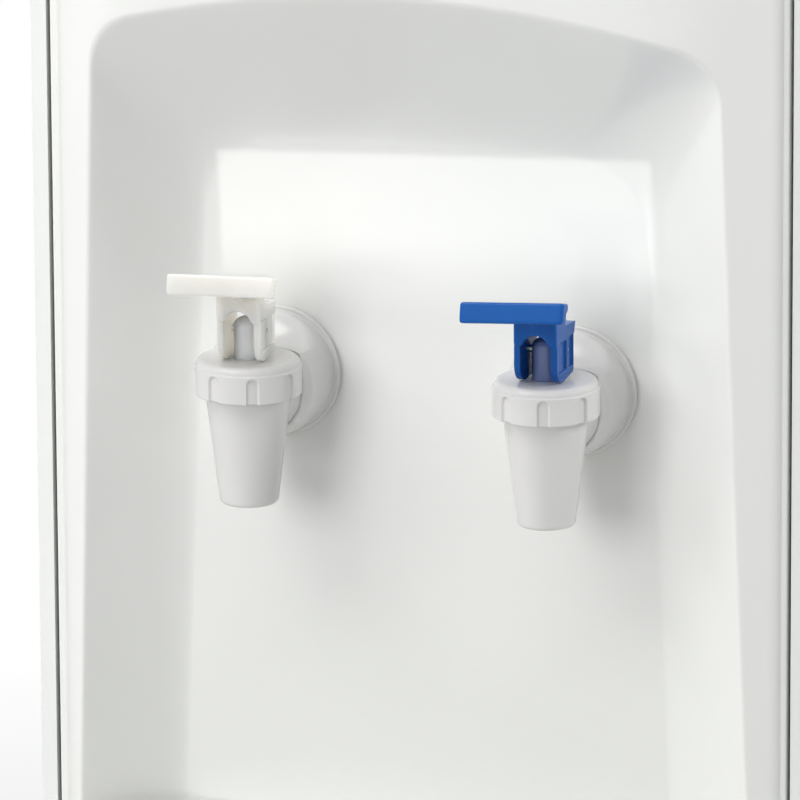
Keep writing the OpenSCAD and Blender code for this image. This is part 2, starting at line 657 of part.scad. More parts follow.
module drain_pipe() color([0.92, 0.92, 0.9]) place() hose([[0, well_y, tank_z - 0.2], [0, well_y, foam_z - 40],
  [0, body_d - 10, foam_z - 40], [0, body_d - 10, drain_z], [0, rear_y + 14, drain_z]], 8.5);
module drain_plug() color(white) place() translate([0, rear_y + 14, drain_z]) rotate([-90, 0, 0]) {
  translate([0, 0, 0.2]) cylinder(r = tube_r + 3, h = 6, $fn = 32);
  translate([0, 0, -nipple_l]) cylinder(r = nipple_r, h = nipple_l + 1);
}
shaft_r = 3;
knob_r = 11;
module thermostat() color(black) place() translate([knob_x, body_d, switch_z]) difference() {
  union() {
    translate([-13, -30, -16]) cube([26, 29.7, 32]);
    translate([-17, -24, -5]) cube([5, 12, 10]);
  }
  rotate([90, 0, 0]) cylinder(r = shaft_r + 0.05, h = 12);
}
module thermostat_knob() color(black) place() translate([knob_x, rear_y + 0.4, switch_z]) difference() {
  rotate([-90, 0, 0]) union() {
    rotate_extrude() polygon([[0, 0], [knob_r, 0], [knob_r, 3], [knob_r - 2, 4], [knob_r - 2.5, 10], [knob_r - 3.5, 11],
      [0, 11]]);
    translate([0, 0, -sheet_t - 8]) cylinder(r = shaft_r, h = sheet_t + 9);
  }
  translate([-0.6, 10, 2]) cube([1.2, 2, 6]);
}

// Refrigeration
module compressor() color(black) place() translate([0, comp_y, comp_z]) {
  rotate_extrude($fn = 64) polygon(concat([[0, 0], [compressor_r * 0.62, 0]],
    [for (a = [-70:20:-10]) [compressor_r * (0.75 + 0.23 * cos(a)), 26 + 26 * sin(a)]],
    [[compressor_r * 0.98, compressor_h * 0.52], [compressor_r, compressor_h * 0.53],
      [compressor_r, compressor_h * 0.57], [compressor_r * 0.97, compressor_h * 0.58]],
    [for (a = [0:18:90]) [compressor_r * (0.55 + 0.4 * cos(a)), compressor_h * (0.72 + 0.28 * sin(a))]],
    [[0, compressor_h]]));
  translate([-compressor_r - 20, -34, 0]) cube([2 * compressor_r + 40, 68, 3]);
}
mount_y = 24;
module compressor_mounts() color(rubber) place() for (x = [-1, 1], y = [-1, 1])
  translate([x * (compressor_r + 10), comp_y + y * mount_y, foot_h + pan_t])
    rotate_extrude() polygon([[0, 0], [9, 0], [9, 3], [7, mount_h / 2], [9, mount_h - 3], [9, mount_h], [0, mount_h]]);
module relay_cover() color(black) place() translate([-22, comp_y - compressor_r - 17, comp_z + 34]) difference() {
  cube([44, 24, 46]);
  translate([22, 17 + compressor_r, -1]) cylinder(r = compressor_r + 0.3, h = 50, $fn = 64);
}
condenser_z0 = 300;
condenser_z1 = condenser_z0 + (condenser_passes - 1) * condenser_pitch;
condenser_run = condenser_w / 2 - condenser_pitch / 2;
riser_x = condenser_w / 2 + 9;
drier_x = condenser_w / 2 - 11;
drier_y = body_d - 28;
port_z = 235;
outlet_r = 0.98 * compressor_r + 0.05;
module condenser_coil() color(black) place() translate([0, condenser_y, 0]) {
  r = condenser_tube_r;
  bend = condenser_pitch / 2;
  run = condenser_run;
  for (i = [0:condenser_passes - 1]) translate([-run, 0, condenser_z0 + i * condenser_pitch])
    rotate([0, 90, 0]) cylinder(r = r, h = 2 * run, $fn = 16);
  for (i = [0:condenser_passes - 2]) let (s = i % 2 == 0 ? -1 : 1)
    translate([s * run, 0, condenser_z0 + (i + 0.5) * condenser_pitch]) rotate([90, 0, 0])
      rotate(s > 0 ? -90 : 90) rotate_extrude(angle = 180, $fn = 48) translate([bend, 0]) circle(r = r, $fn = 16);
}
wire_n = floor((condenser_w - 60) / 2 / wire_pitch);
module condenser_wires() color(black) place() for (i = [-wire_n:wire_n])
  translate([i * wire_pitch, condenser_y + condenser_tube_r + wire_r + 0.05, condenser_z0 - 8])
    cylinder(r = wire_r, h = condenser_z1 - condenser_z0 + 16, $fn = 13);
module condenser_clips() color(black) place()
  for (x = [-1, 1], z = [condenser_z0, condenser_z1]) translate([x * 5.5 * wire_pitch - 4, rear_y, z - 9]) difference() {
    cube([8, clip_l + 2 * condenser_tube_r + 1, 18]);
    translate([-1, clip_l + condenser_tube_r, 9]) rotate([0, 90, 0]) cylinder(r = condenser_tube_r + 0.1, h = 14);
    translate([-1, clip_l + condenser_tube_r, 9 - condenser_tube_r * 0.7]) cube([14, 10, 2 * condenser_tube_r * 0.7]);
  }
module discharge_line() color(copper) place() sweep(route([[outlet_r, comp_y, comp_z + 50], [80, comp_y, comp_z + 50],
  [80, comp_y, port_z], [riser_x, comp_y, port_z], [riser_x, condenser_y, port_z], [riser_x, condenser_y, condenser_z1],
  [condenser_run + 0.05, condenser_y, condenser_z1]], 8), 2.2, 8);
module suction_line() color(copper) place() sweep(route([[-outlet_r, comp_y, comp_z + 50],
  [-port_x, comp_y, comp_z + 50], [-port_x, drier_y, comp_z + 50], [-port_x, drier_y, coil_z + coil_h],
  [-port_x, port_y + 0.05, coil_z + coil_h]], 8), 3, 8);
module filter_drier() color(copper) place() {
  sweep(route([[condenser_run + 0.05, condenser_y, condenser_z0], [drier_x, condenser_y, condenser_z0],
    [drier_x, condenser_y, port_z + 27], [drier_x, drier_y, port_z + 27], [drier_x, drier_y, port_z]], 6), 2, 8);
  translate([drier_x, drier_y, port_z - 80]) rotate_extrude()
    polygon([[0, 0], [1.6, 0], [2.5, 6], [8, 12], [8, 70], [3, 78], [3, 84], [0, 84]]);
}
module capillary_tube() color(copper) place() sweep(route([[drier_x, drier_y, port_z - 80.05],
  [drier_x, drier_y, port_z - 92], [drier_x + 14, drier_y, port_z - 92], [drier_x + 14, drier_y, coil_z],
  [port_x, drier_y, coil_z], [port_x, port_y + 0.05, coil_z]], 5), 1.2, 6);
gland_r = 8;
switch_w = 28;
switch_h = 22;
cheek_t = 1.8;
pivot_y = rear_y - 6;
module switch_frame() color(black) place() translate([switch_x, rear_y, switch_z]) difference() {
  union() {
    translate([-switch_w / 2 - 2, 0, -switch_h / 2 - 2]) cube([switch_w + 4, 2.5, switch_h + 4]);
    translate([-switch_w / 2 + fit, -12, -8]) cube([switch_w - 2 * fit, 13, 16]);
  }
  translate([-switch_w / 2 + fit + cheek_t, -13, -rocker_r + 1.3]) cube([switch_w - 2 * fit - 2 * cheek_t, 20, 2 * rocker_r - 2.6]);
  translate([0, -6, 0]) rotate([0, 90, 0]) cylinder(r = 1.55, h = switch_w + 2, center = true);
}
rocker_r = 11;
module power_switch() color(black) place() translate([switch_x, pivot_y, switch_z]) rotate([0, 90, 0]) {
  rocker_w = switch_w - 2 * fit - 2 * cheek_t - 0.6;
  rotate(rocker_tilt) translate([0, 0, -rocker_w / 2]) linear_extrude(rocker_w) intersection() {
    circle(r = rocker_r);
    polygon([[-12, -4], [12, -4], [12, 9.2], [0, 7.5], [-12, 9.2]]);
  }
  cylinder(r = 1.5, h = switch_w - 2 * fit - 0.4, center = true);
}
rocker_tilt = 8;
module cord_gland() color(black) place() translate([cord_x, rear_y, cord_z]) rotate([-90, 0, 0]) difference() {
  union() {
    translate([0, 0, 0.02]) cylinder(r = gland_r + 3, h = 3);
    translate([0, 0, -8]) cylinder(r = gland_r - 0.2, h = 9);
    translate([0, 0, 3]) cylinder(r1 = gland_r - 1, r2 = gland_r - 3, h = 12);
  }
  translate([0, 0, -9]) cylinder(r = 3.6, h = 30);
}
module case_screws() color(steel) place() at_screws() difference() {
  union() {
    cylinder(r1 = screw_head_r, r2 = screw_head_r - 1, h = 2);
    translate([0, 0, -screw_l]) cylinder(r = screw_r, h = screw_l, $fn = 16);
  }
  for (a = [0, 90]) rotate(a) translate([-2, -0.4, 1.2]) cube([4, 0.8, 1]);
}

// Taps, each built about its spout axis with the top of the cap at zero
module tap_body() {
  arm_y = tap_reach - arm_front;
  difference() {
    union() {
      translate([0, 0, -cap_h]) rotate_extrude($fn = 64) polygon([[0, -spout_l], [spout_d / 2 - 1, -spout_l],
        [spout_d / 2, -spout_l + 1], [spout_top_d / 2, -0.4], [spout_top_d / 2, cap_h - cap_plate_t - fit],
        [0, cap_h - cap_plate_t - fit]]);
      // Arm, with a nose that runs into the spout
      translate([0, 0, -cap_h]) rotate([-90, 0, 0]) rotate_extrude($fn = 64) polygon([[0, 0], [nose_r, 0],
        [arm_d / 2 - 1, 7.5], [arm_d / 2, 8.5], [arm_d / 2, arm_y], [0, arm_y]]);
      translate([0, tap_reach + tail_l, -cap_h]) rotate([90, 0, 0]) cylinder(d = tail_d, h = tail_l + 4);
    }
    // Room for the cap, and for the lever above it
    translate([0, 0, -cap_h - pocket_gap]) difference() {
      cylinder(d = cap_d + 2 * pocket_gap, h = cap_h + 20, $fn = 64);
      translate([0, 0, -1]) cylinder(d = spout_top_d, h = cap_h + pocket_gap - cap_plate_t - fit + 1, $fn = 64);
    }
    translate([0, 0, -cap_h - 6]) cylinder(r = chamber_r, h = 30);
    translate([0, 0, -cap_h - spout_l - 1]) cylinder(d1 = mouth_d, d2 = mouth_d - 4, h = spout_l - 9);
    translate([0, 0, -cap_h - 12]) cylinder(r = 4.5, h = 10);
    translate([0, tap_reach + tail_l + 1, -cap_h]) rotate([90, 0, 0]) cylinder(r = water_r, h = tap_reach + tail_l - chamber_r + 3);
    translate([0, tap_reach + tail_l + 1, -cap_h]) rotate([90, 0, 0]) difference() {
      cylinder(d = tail_d + 2, h = nipple_l + 1);
      cylinder(r = nipple_r, h = nipple_l + 1);
    }
  }
}
module flange_cover() translate([0, tap_reach, -cap_h]) difference() {
  rotate([90, 0, 0]) rotate_extrude($fn = 64) polygon(concat(
    [[flange_d / 2 - 1, 0.1], [flange_d / 2, 1], [flange_d / 2, flange_t - 0.5], [flange_d / 2 - 0.5, flange_t]],
    [for (i = [0:8]) let (t = i / 8)
      [cover_front_r + (cover_d / 2 - cover_front_r) * sqrt(1 - t * t), lerp(flange_t, cover_l - 0.5, t)]],
    [[cover_front_r - 0.5, cover_l], [arm_d / 2 + fit, cover_l], [arm_d / 2 + fit, 0.1]]));
  translate([0, -tap_reach, -pocket_gap]) cylinder(d = cap_d + 2 * pocket_gap, h = 80, $fn = 64);
  // Room for the spout
  translate([0, -tap_reach, -spout_l])
    cylinder(d1 = spout_d + 4 * fit, d2 = spout_top_d + 4 * fit, h = spout_l, $fn = 64);
}
module tap_cap(turn) difference() {
  rotate_extrude($fn = 64) polygon([[stem_d / 2 + stem_play, 0], [cap_d / 2 - 2.6, 0], [cap_d / 2 - 1.1, -0.5],
    [cap_d / 2 - 0.5, -1.3], [cap_d / 2 - 0.4, -2.6], [cap_d / 2, -3], [cap_d / 2, -cap_h + 0.5],
    [cap_d / 2 - 0.5, -cap_h], [cap_d / 2 - cap_skirt_t, -cap_h], [cap_d / 2 - cap_skirt_t, -cap_plate_t],
    [stem_d / 2 + stem_play, -cap_plate_t]]);
  for (i = [0:cap_notches - 1]) rotate(-90 + turn + i * 360 / cap_notches)
    translate([cap_d / 2 + notch_out, 0, -cap_h - 1]) {
      cylinder(r = notch_r, h = cap_h - 5, $fn = 24);
      translate([0, 0, cap_h - 5]) sphere(r = notch_r, $fn = 24);
    }
}
module tap_stem() difference() {
  rotate_extrude($fn = 48) polygon(concat([[0, seat_drop], [stem_foot_r, seat_drop], [stem_foot_r, seat_drop + stem_foot_t],
    [stem_d / 2 - 1.5, seat_drop + stem_foot_t], [stem_d / 2 - 1.5, -cap_plate_t - 1.2], [stem_d / 2, -cap_plate_t - 1.2 + 0.2]],
    [for (a = [0:15:90]) [stem_d / 2 * cos(a), block_z - 3.6 + 3.6 * sin(a)]]));
  translate([0, 0, pin_h]) rotate([0, 90, 0]) cylinder(d = pin_d + 2 * stem_play, h = 2 * stem_d, center = true);
}
seat_drop = -cap_h - 1.6;
module tap_lever() {
  inner = fork_w / 2 - leg_t;
  difference() {
    union() {
      rotate([90, 0, 90]) translate([0, 0, -fork_w / 2]) linear_extrude(fork_w) polygon(concat(
        [for (a = [180:10:270]) [-foot_front + foot_r + foot_r * cos(a), foot_r + foot_clear + foot_r * sin(a)]],
        [[fork_back - 1, foot_clear + 1.2], [fork_back, foot_clear + 2.4], [fork_back, block_z], [block_back, block_z],
          [block_back, paddle_z + 1], [-block_front, paddle_z + 5.5], [-block_front, block_z], [-foot_front, block_z]]));
      translate([0, 0, paddle_z]) rotate([-paddle_tilt, -paddle_cant, 0]) paddle();
    }
    // Slot between the legs, closed at the front by a web with an arch
    translate([-inner, -block_front + 2.5, -1]) cube([2 * inner, block_front + block_back + 2, roof_z + 1]);
    translate([-inner, -block_front - 1, -1]) cube([2 * inner, 10, block_z + 1]);
    translate([0, 0, block_z - 0.8]) rotate([90, 0, 0]) cylinder(d = arch_w, h = 2 * block_front, $fn = 32);
    // Recess in the outer side of each leg, either side of an upright rib
    for (s = [-1, 1], e = [[-rib_half - front_panel_l, front_panel_l], [rib_half, rear_panel_l]])
      translate([s * fork_w / 2 - panel_t, e[0], panel_z]) cube([2 * panel_t, e[1], block_z - panel_z]);
    translate([0, 0, pin_h]) rotate([0, 90, 0]) cylinder(d = pin_d, h = fork_w + 2, center = true);
  }
}
module paddle() {
  front = bar_reach / cos(paddle_tilt);
  translate([0, 0, bar_h - plate_t]) linear_extrude(plate_t) polygon([[-bar_w / 2, -front + 1], [bar_w / 2, -front + 1],
    [bar_w / 2, -front + 6], [fork_w / 2, -block_front + 1], [fork_w / 2, block_back], [-fork_w / 2, block_back],
    [-fork_w / 2, -block_front + 1], [-bar_w / 2, -front + 6]]);
  translate([-bar_w / 2, -front, 0]) cube([bar_w, 5, bar_h]);
  translate([-1.2, -front + 4, 0]) cube([2.4, front - block_front, bar_h - 1]);
  translate([-fork_w / 2, -block_front + 0.5, 0]) cube([fork_w, block_front + block_back - 0.5, bar_h - 0.5]);
}
module valve_spring() translate([0, 0, seat_drop + stem_foot_t + spring_wire + 0.05])
  sweep(helix(spring_r, (-cap_plate_t - seat_drop - stem_foot_t - 2 * spring_wire - 0.1) / spring_turns, spring_turns, 16),
    spring_wire, 6);

module tap_body_left() color(tap_white) place() at_tap(-1) tap_body();
module tap_body_right() color(tap_white) place() at_tap(1) tap_body();
module flange_cover_left() color(tap_white) place() at_tap(-1) flange_cover();
module flange_cover_right() color(tap_white) place() at_tap(1) flange_cover();
module tap_cap_left() color(tap_white) place() at_tap(-1) tap_cap(cap_turn_left);
module tap_cap_right() color(tap_white) place() at_tap(1) tap_cap(cap_turn_right);
module tap_stem_left() color(tap_white) place() at_tap(-1) tap_stem();
module tap_stem_right() color(tap_white) place() at_tap(1) tap_stem();
module tap_lever_left() color(ivory) place() at_tap(-1) tap_lever();
module tap_lever_right() color(blue) place() at_tap(1) tap_lever();
module lever_pin() translate([0, 0, pin_h]) rotate([0, 90, 0]) cylinder(d = pin_d, h = fork_w - 0.4, center = true);
module lever_pin_left() color(steel) place() at_tap(-1) lever_pin();
module lever_pin_right() color(steel) place() at_tap(1) lever_pin();
module valve_spring_left() color(steel) place() at_tap(-1) valve_spring();
module valve_spring_right() color(steel) place() at_tap(1) valve_spring();
// Soft seal on the foot of the stem, closing the mouth of the chamber
module valve_seal() translate([0, 0, -cap_h - 6]) rotate_extrude()
  polygon([[0, 0.02], [7.5, 0.02], [8.5, 1.2], [8.5, 3], [6, 4.4], [0, 4.4]]);
module valve_seal_left() color(rubber) place() at_tap(-1) valve_seal();
module valve_seal_right() color(rubber) place() at_tap(1) valve_seal();
module tap_gaskets() color(rubber) place() for (s = [-1, 1]) at_tap(s) translate([0, tap_reach, -cap_h])
  rotate([90, 0, 0]) difference() {
    cylinder(d = arm_d - 2, h = arm_front);
    translate([0, 0, -1]) cylinder(d = tail_d + 0.1, h = arm_front + 2);
  }
module tap_nuts() color(white) place() for (s = [-1, 1]) at_tap(s) translate([0, tap_reach + shell_t, -cap_h])
  rotate([-90, 0, 0]) difference() {
    union() {
      cylinder(d = tail_d + 14, h = 1.5);
      translate([0, 0, 1.5]) cylinder(d = tail_d + 11, h = 6.5, $fn = 6);
    }
    translate([0, 0, -1]) cylinder(d = tail_d + 0.1, h = 12);
  }

side_panel_left();
side_panel_right();
front_fascia();
top_cover();
bottle_seat();
feed_probe();
rear_panel();
base_pan();
feet();
door();
door_hinges();
door_magnet();
magnet_catch();
storage_liner();
drip_tray();
drip_grille();
tank_shelf();
cold_tank();
tank_lid();
tank_baffle();
tank_insulation();
evaporator_coil();
ambient_tube();
cold_tube();
thermostat();
thermostat_knob();
capillary_tube();
compressor();
compressor_mounts();
relay_cover();
discharge_line();
suction_line();
filter_drier();
condenser_coil();
condenser_wires();
condenser_clips();
drain_pipe();
drain_plug();
power_switch();
switch_frame();
cord_gland();
case_screws();
tap_body_left();
tap_body_right();
flange_cover_left();
flange_cover_right();
tap_cap_left();
tap_cap_right();
tap_stem_left();
tap_stem_right();
tap_lever_left();
tap_lever_right();
lever_pin_left();
lever_pin_right();
valve_spring_left();
valve_spring_right();
valve_seal_left();
valve_seal_right();
tap_gaskets();
tap_nuts();
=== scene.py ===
# %% [markdown]
# # A top load water cooler
# The solid model gives every piece its place and size. This lesson dresses it: the pieces that
# are seen close get finer meshes, and every surface gets a procedural finish. Blender's unit
# is the metre, but outlines and radii are listed in millimetres, which MM turns into metres.
# +Z is up and the front of the cooler looks along -Y.

# %% Load the solid model
import math
import bmesh
import bpy
from mathutils import Matrix, Vector


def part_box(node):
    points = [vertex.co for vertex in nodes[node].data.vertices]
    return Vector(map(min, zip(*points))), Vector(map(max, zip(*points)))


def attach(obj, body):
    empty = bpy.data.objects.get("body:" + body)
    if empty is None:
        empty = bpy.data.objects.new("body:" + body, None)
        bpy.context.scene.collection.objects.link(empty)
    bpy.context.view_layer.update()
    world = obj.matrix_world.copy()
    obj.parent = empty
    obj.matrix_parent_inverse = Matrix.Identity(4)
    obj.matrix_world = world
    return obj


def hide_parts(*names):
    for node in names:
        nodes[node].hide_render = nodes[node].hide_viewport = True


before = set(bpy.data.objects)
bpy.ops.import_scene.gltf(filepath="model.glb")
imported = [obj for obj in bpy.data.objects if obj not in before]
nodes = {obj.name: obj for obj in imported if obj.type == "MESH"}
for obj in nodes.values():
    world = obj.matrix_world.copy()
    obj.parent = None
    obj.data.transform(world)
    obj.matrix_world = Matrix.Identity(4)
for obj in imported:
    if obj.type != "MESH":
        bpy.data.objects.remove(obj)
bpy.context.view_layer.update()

# %% [markdown]
# ## Measures taken from the solid model
# The main measures are read from the nodes' boxes, so a dressed piece stays where its solid
# is. The side panels give the plane of the front, the stems give the axes of the two taps.

# %% Read the measures
MM = 0.001
front_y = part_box("side_panel_right")[0].y
fascia_low, fascia_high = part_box("front_fascia")
stem_low, stem_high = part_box("tap_stem_right")
tap_x = (stem_low.x + stem_high.x) / 2
tap_y = (stem_low.y + stem_high.y) / 2
cap_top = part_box("tap_cap_right")[1].z
tap_sides = {"left": -1, "right": 1}
print("front plane", round(front_y, 4), "tap axes at", round(tap_x, 4), round(tap_y, 4))
print("top of the caps", round(cap_top, 4))


def place(x, y, z):
    """A point given in millimetres behind the front plane."""
    return Vector((x * MM, front_y + y * MM, z * MM))


# %% [markdown]
# ## Camera
# The picture looks slightly down and a little from the right, from so far away that upright
# edges stay almost parallel. A long lens gives that: the camera stands 3.5 m away and sees a
# field less than 0.3 m wide. The tiny roll is the tilt of the picture itself.

# %% Direction helper
def direction(azimuth, elevation):
    """Direction away from the cooler: azimuth 0 is its front, and positive turns to the right."""
    flat = math.cos(elevation)
    return Vector((math.sin(azimuth) * flat, -math.cos(azimuth) * flat, math.sin(elevation)))


# %% Camera
picture_size = 800
pixels_per_metre = 2693
camera_distance = 3.5
azimuth, elevation, roll = math.radians(16.83), math.radians(14.92), math.radians(0.295)
tap_height = 728
tap_middle = place(0, -10, tap_height)
# The picture's middle lies this many pixels left of the point between the taps, and below it
aim_left, aim_below = 9.5, 8.1
toward = direction(azimuth, elevation)
level = Vector((math.cos(azimuth), math.sin(azimuth), 0))
upward = toward.cross(level)
picture_x = math.cos(roll) * level - math.sin(roll) * upward
picture_y = math.sin(roll) * level + math.cos(roll) * upward
eye = tap_middle + toward * camera_distance
aim = tap_middle - picture_x * aim_left / pixels_per_metre - picture_y * aim_below / pixels_per_metre
back = (eye - aim).normalized()
across = (picture_x - picture_x.dot(back) * back).normalized()

camera = bpy.data.objects.new("camera", bpy.data.cameras.new("camera"))
camera.data.lens = camera.data.sensor_width * camera_distance * pixels_per_metre / picture_size
camera.data.clip_end = 50
turned = Matrix((across, back.cross(across), back)).transposed().to_4x4()
camera.matrix_world = Matrix.Translation(eye) @ turned
bpy.context.scene.collection.objects.link(camera)
bpy.context.scene.camera = camera
bpy.context.scene.view_settings.view_transform = "Standard"
print("lens", round(camera.data.lens, 1), "mm")

# %% [markdown]
# ## Floor and background
# A studio floor is pale and plain, and the picture's background is pure white. The floor is a
# wide disc that keeps the shadow near the cooler. Farther out it turns white, but only for
# the camera and for reflections, so it adds no light of its own to the cooler.

# %% Helpers for materials
def new_material(name):
    """A new material, with its node tree and its Principled shader."""
    material = bpy.data.materials.new(name)
    material.use_nodes = True
    tree = material.node_tree
    return material, tree, tree.nodes["Principled BSDF"]


def add_node(tree, kind, **values):
    """A new node: each value goes to the socket of that name, or else to the property."""
    node = tree.nodes.new(kind)
    for name, value in values.items():
        if name in node.inputs:
            node.inputs[name].default_value = value
        else:
            setattr(node, name, value)
    return node


def seen_rays(tree):
    """1 for the camera, for gloss and for what shines through, 0 for light on a surface."""
    path = add_node(tree, "ShaderNodeLightPath")
    first = add_node(tree, "ShaderNodeMath", operation="MAXIMUM")
    both = add_node(tree, "ShaderNodeMath", operation="MAXIMUM")
    tree.links.new(path.outputs["Is Camera Ray"], first.inputs[0])
    tree.links.new(path.outputs["Is Glossy Ray"], first.inputs[1])
    tree.links.new(first.outputs[0], both.inputs[0])
    tree.links.new(path.outputs["Is Transmission Ray"], both.inputs[1])
    return both.outputs[0]


# %% Floor finish
fade_start, fade_end = 0.6, 2.0
floor_finish, tree, shader = new_material("studio_floor")
shader.inputs["Base Color"].default_value = (0.86, 0.86, 0.86, 1)
shader.inputs["Roughness"].default_value = 0.8
white = add_node(tree, "ShaderNodeEmission", Strength=1.0)
mix = add_node(tree, "ShaderNodeMixShader")
position = add_node(tree, "ShaderNodeTexCoord")
length = add_node(tree, "ShaderNodeVectorMath", operation="LENGTH")
fade = add_node(tree, "ShaderNodeMapRange", **{"From Min": fade_start, "From Max": fade_end})
far_and_seen = add_node(tree, "ShaderNodeMath", operation="MULTIPLY")
tree.links.new(position.outputs["Object"], length.inputs[0])
tree.links.new(length.outputs["Value"], fade.inputs["Value"])
tree.links.new(fade.outputs[0], far_and_seen.inputs[0])
tree.links.new(seen_rays(tree), far_and_seen.inputs[1])
tree.links.new(far_and_seen.outputs[0], mix.inputs[0])
tree.links.new(shader.outputs[0], mix.inputs[1])
tree.links.new(white.outputs[0], mix.inputs[2])
tree.links.new(mix.outputs[0], tree.nodes["Material Output"].inputs["Surface"])
print("the floor fades to white between", fade_start, "and", fade_end, "m")

# %% Floor
floor_radius, floor_gap = 9, 0.0005
disc = bmesh.new()
bmesh.ops.create_circle(disc, cap_ends=True, segments=96, radius=floor_radius)
floor_mesh = bpy.data.meshes.new("studio_floor")
disc.to_mesh(floor_mesh)
disc.free()
floor = bpy.data.objects.new("studio_floor", floor_mesh)
floor.data.materials.append(floor_finish)
floor.location.z = -floor_gap
bpy.context.scene.collection.objects.link(floor)
print("floor radius", floor_radius, "m")

# %% [markdown]
# The world around the cooler is a soft, faintly blue sky for light that falls on a surface.
# The camera and every reflection see plain white instead, as in a white studio. One world
# shader can do both, because the kind of ray picks the background.

# %% World
sky_strength = 0.25
world = bpy.data.worlds.new("studio")
bpy.context.scene.world = world
world.use_nodes = True
tree = world.node_tree
soft = tree.nodes["Background"]
soft.inputs["Color"].default_value = (0.96, 0.98, 1, 1)
soft.inputs["Strength"].default_value = sky_strength
plain = add_node(tree, "ShaderNodeBackground", Color=(1, 1, 1, 1), Strength=1.0)
mix = add_node(tree, "ShaderNodeMixShader")
tree.links.new(seen_rays(tree), mix.inputs[0])
tree.links.new(soft.outputs[0], mix.inputs[1])
tree.links.new(plain.outputs[0], mix.inputs[2])
tree.links.new(mix.outputs[0], tree.nodes["World Output"].inputs["Surface"])
print("light from all round:", sky_strength)

# %% [markdown]
# ## Lamps
# The shadows of the taps fall to the lower right and are soft, so the main lamp is a large
# square, high on the left. A weaker one stands low at the far left, one fills from the right,
# and two more come from above and from the front. The one behind only serves views of the
# back. Glossy plastic would mirror each of them as a hard square, so only the main lamp shows
# in the gloss, as glints on the shoulders.

# %% Helpers for lamps
def area_lamp(name, location, facing, size, watts):
    """Square lamp, `size` metres wide, with the vector `facing` pointing away from what it lights."""
    lamp = bpy.data.objects.new(name, bpy.data.lights.new(name, "AREA"))
    lamp.data.size = size
    lamp.data.energy = watts
    lamp.location = location
    lamp.rotation_euler = facing.to_track_quat("Z", "Y").to_euler()
    lamp.visible_camera = False
    lamp.visible_glossy = False
    bpy.context.scene.collection.objects.link(lamp)
    return lamp


def softbox(name, azimuth, elevation, distance, size, watts):
    """Area lamp that looks at the taps from an azimuth and an elevation in degrees."""
    away = direction(math.radians(azimuth), math.radians(elevation))
    return area_lamp(name, tap_middle + away * distance, away, size, watts)


# %% Lamps
key_lamp = softbox("key_lamp", azimuth=-40, elevation=50, distance=1.8, size=0.9, watts=15.2)
key_lamp.visible_glossy = True
softbox("side_lamp", azimuth=-65, elevation=15, distance=1.8, size=0.7, watts=4.2)
softbox("right_lamp", azimuth=97, elevation=30, distance=1.8, size=0.7, watts=18)
softbox("top_lamp", azimuth=0, elevation=65, distance=1.8, size=0.7, watts=5.6)
softbox("front_lamp", azimuth=-22, elevation=15, distance=1.8, size=0.7, watts=9.6)
softbox("back_lamp", azimuth=160, elevation=30, distance=1.9, size=0.9, watts=12)

# %% [markdown]
# The foot of the alcove lies in its own shade. A small lamp with a narrow beam lifts it, as a
# photographer would do with a mirror: it is aimed below the taps and spreads only 20 degrees.

# %% Beam for the foot of the alcove
beam_place, beam_target = Vector((-0.5, -1.2, 0.75)), Vector((0, -0.1, 0.59))
foot_beam = area_lamp("foot_beam", beam_place, beam_place - beam_target, size=0.3, watts=0.02)
foot_beam.data.spread = math.radians(20)
print("the beam comes from", round((beam_place - beam_target).length, 2), "m away")

# %% [markdown]
# A sharp window of light lies on the upper back wall, between the alcove's roof and the taps.
# A photographer makes one with a spot lamp and a cut card before it. Here nodes cut the beam:
# they turn its direction into a place on a flat wall and let light through only inside a
# tilted rectangle, which is sharp at three sides and fades out at the bottom.

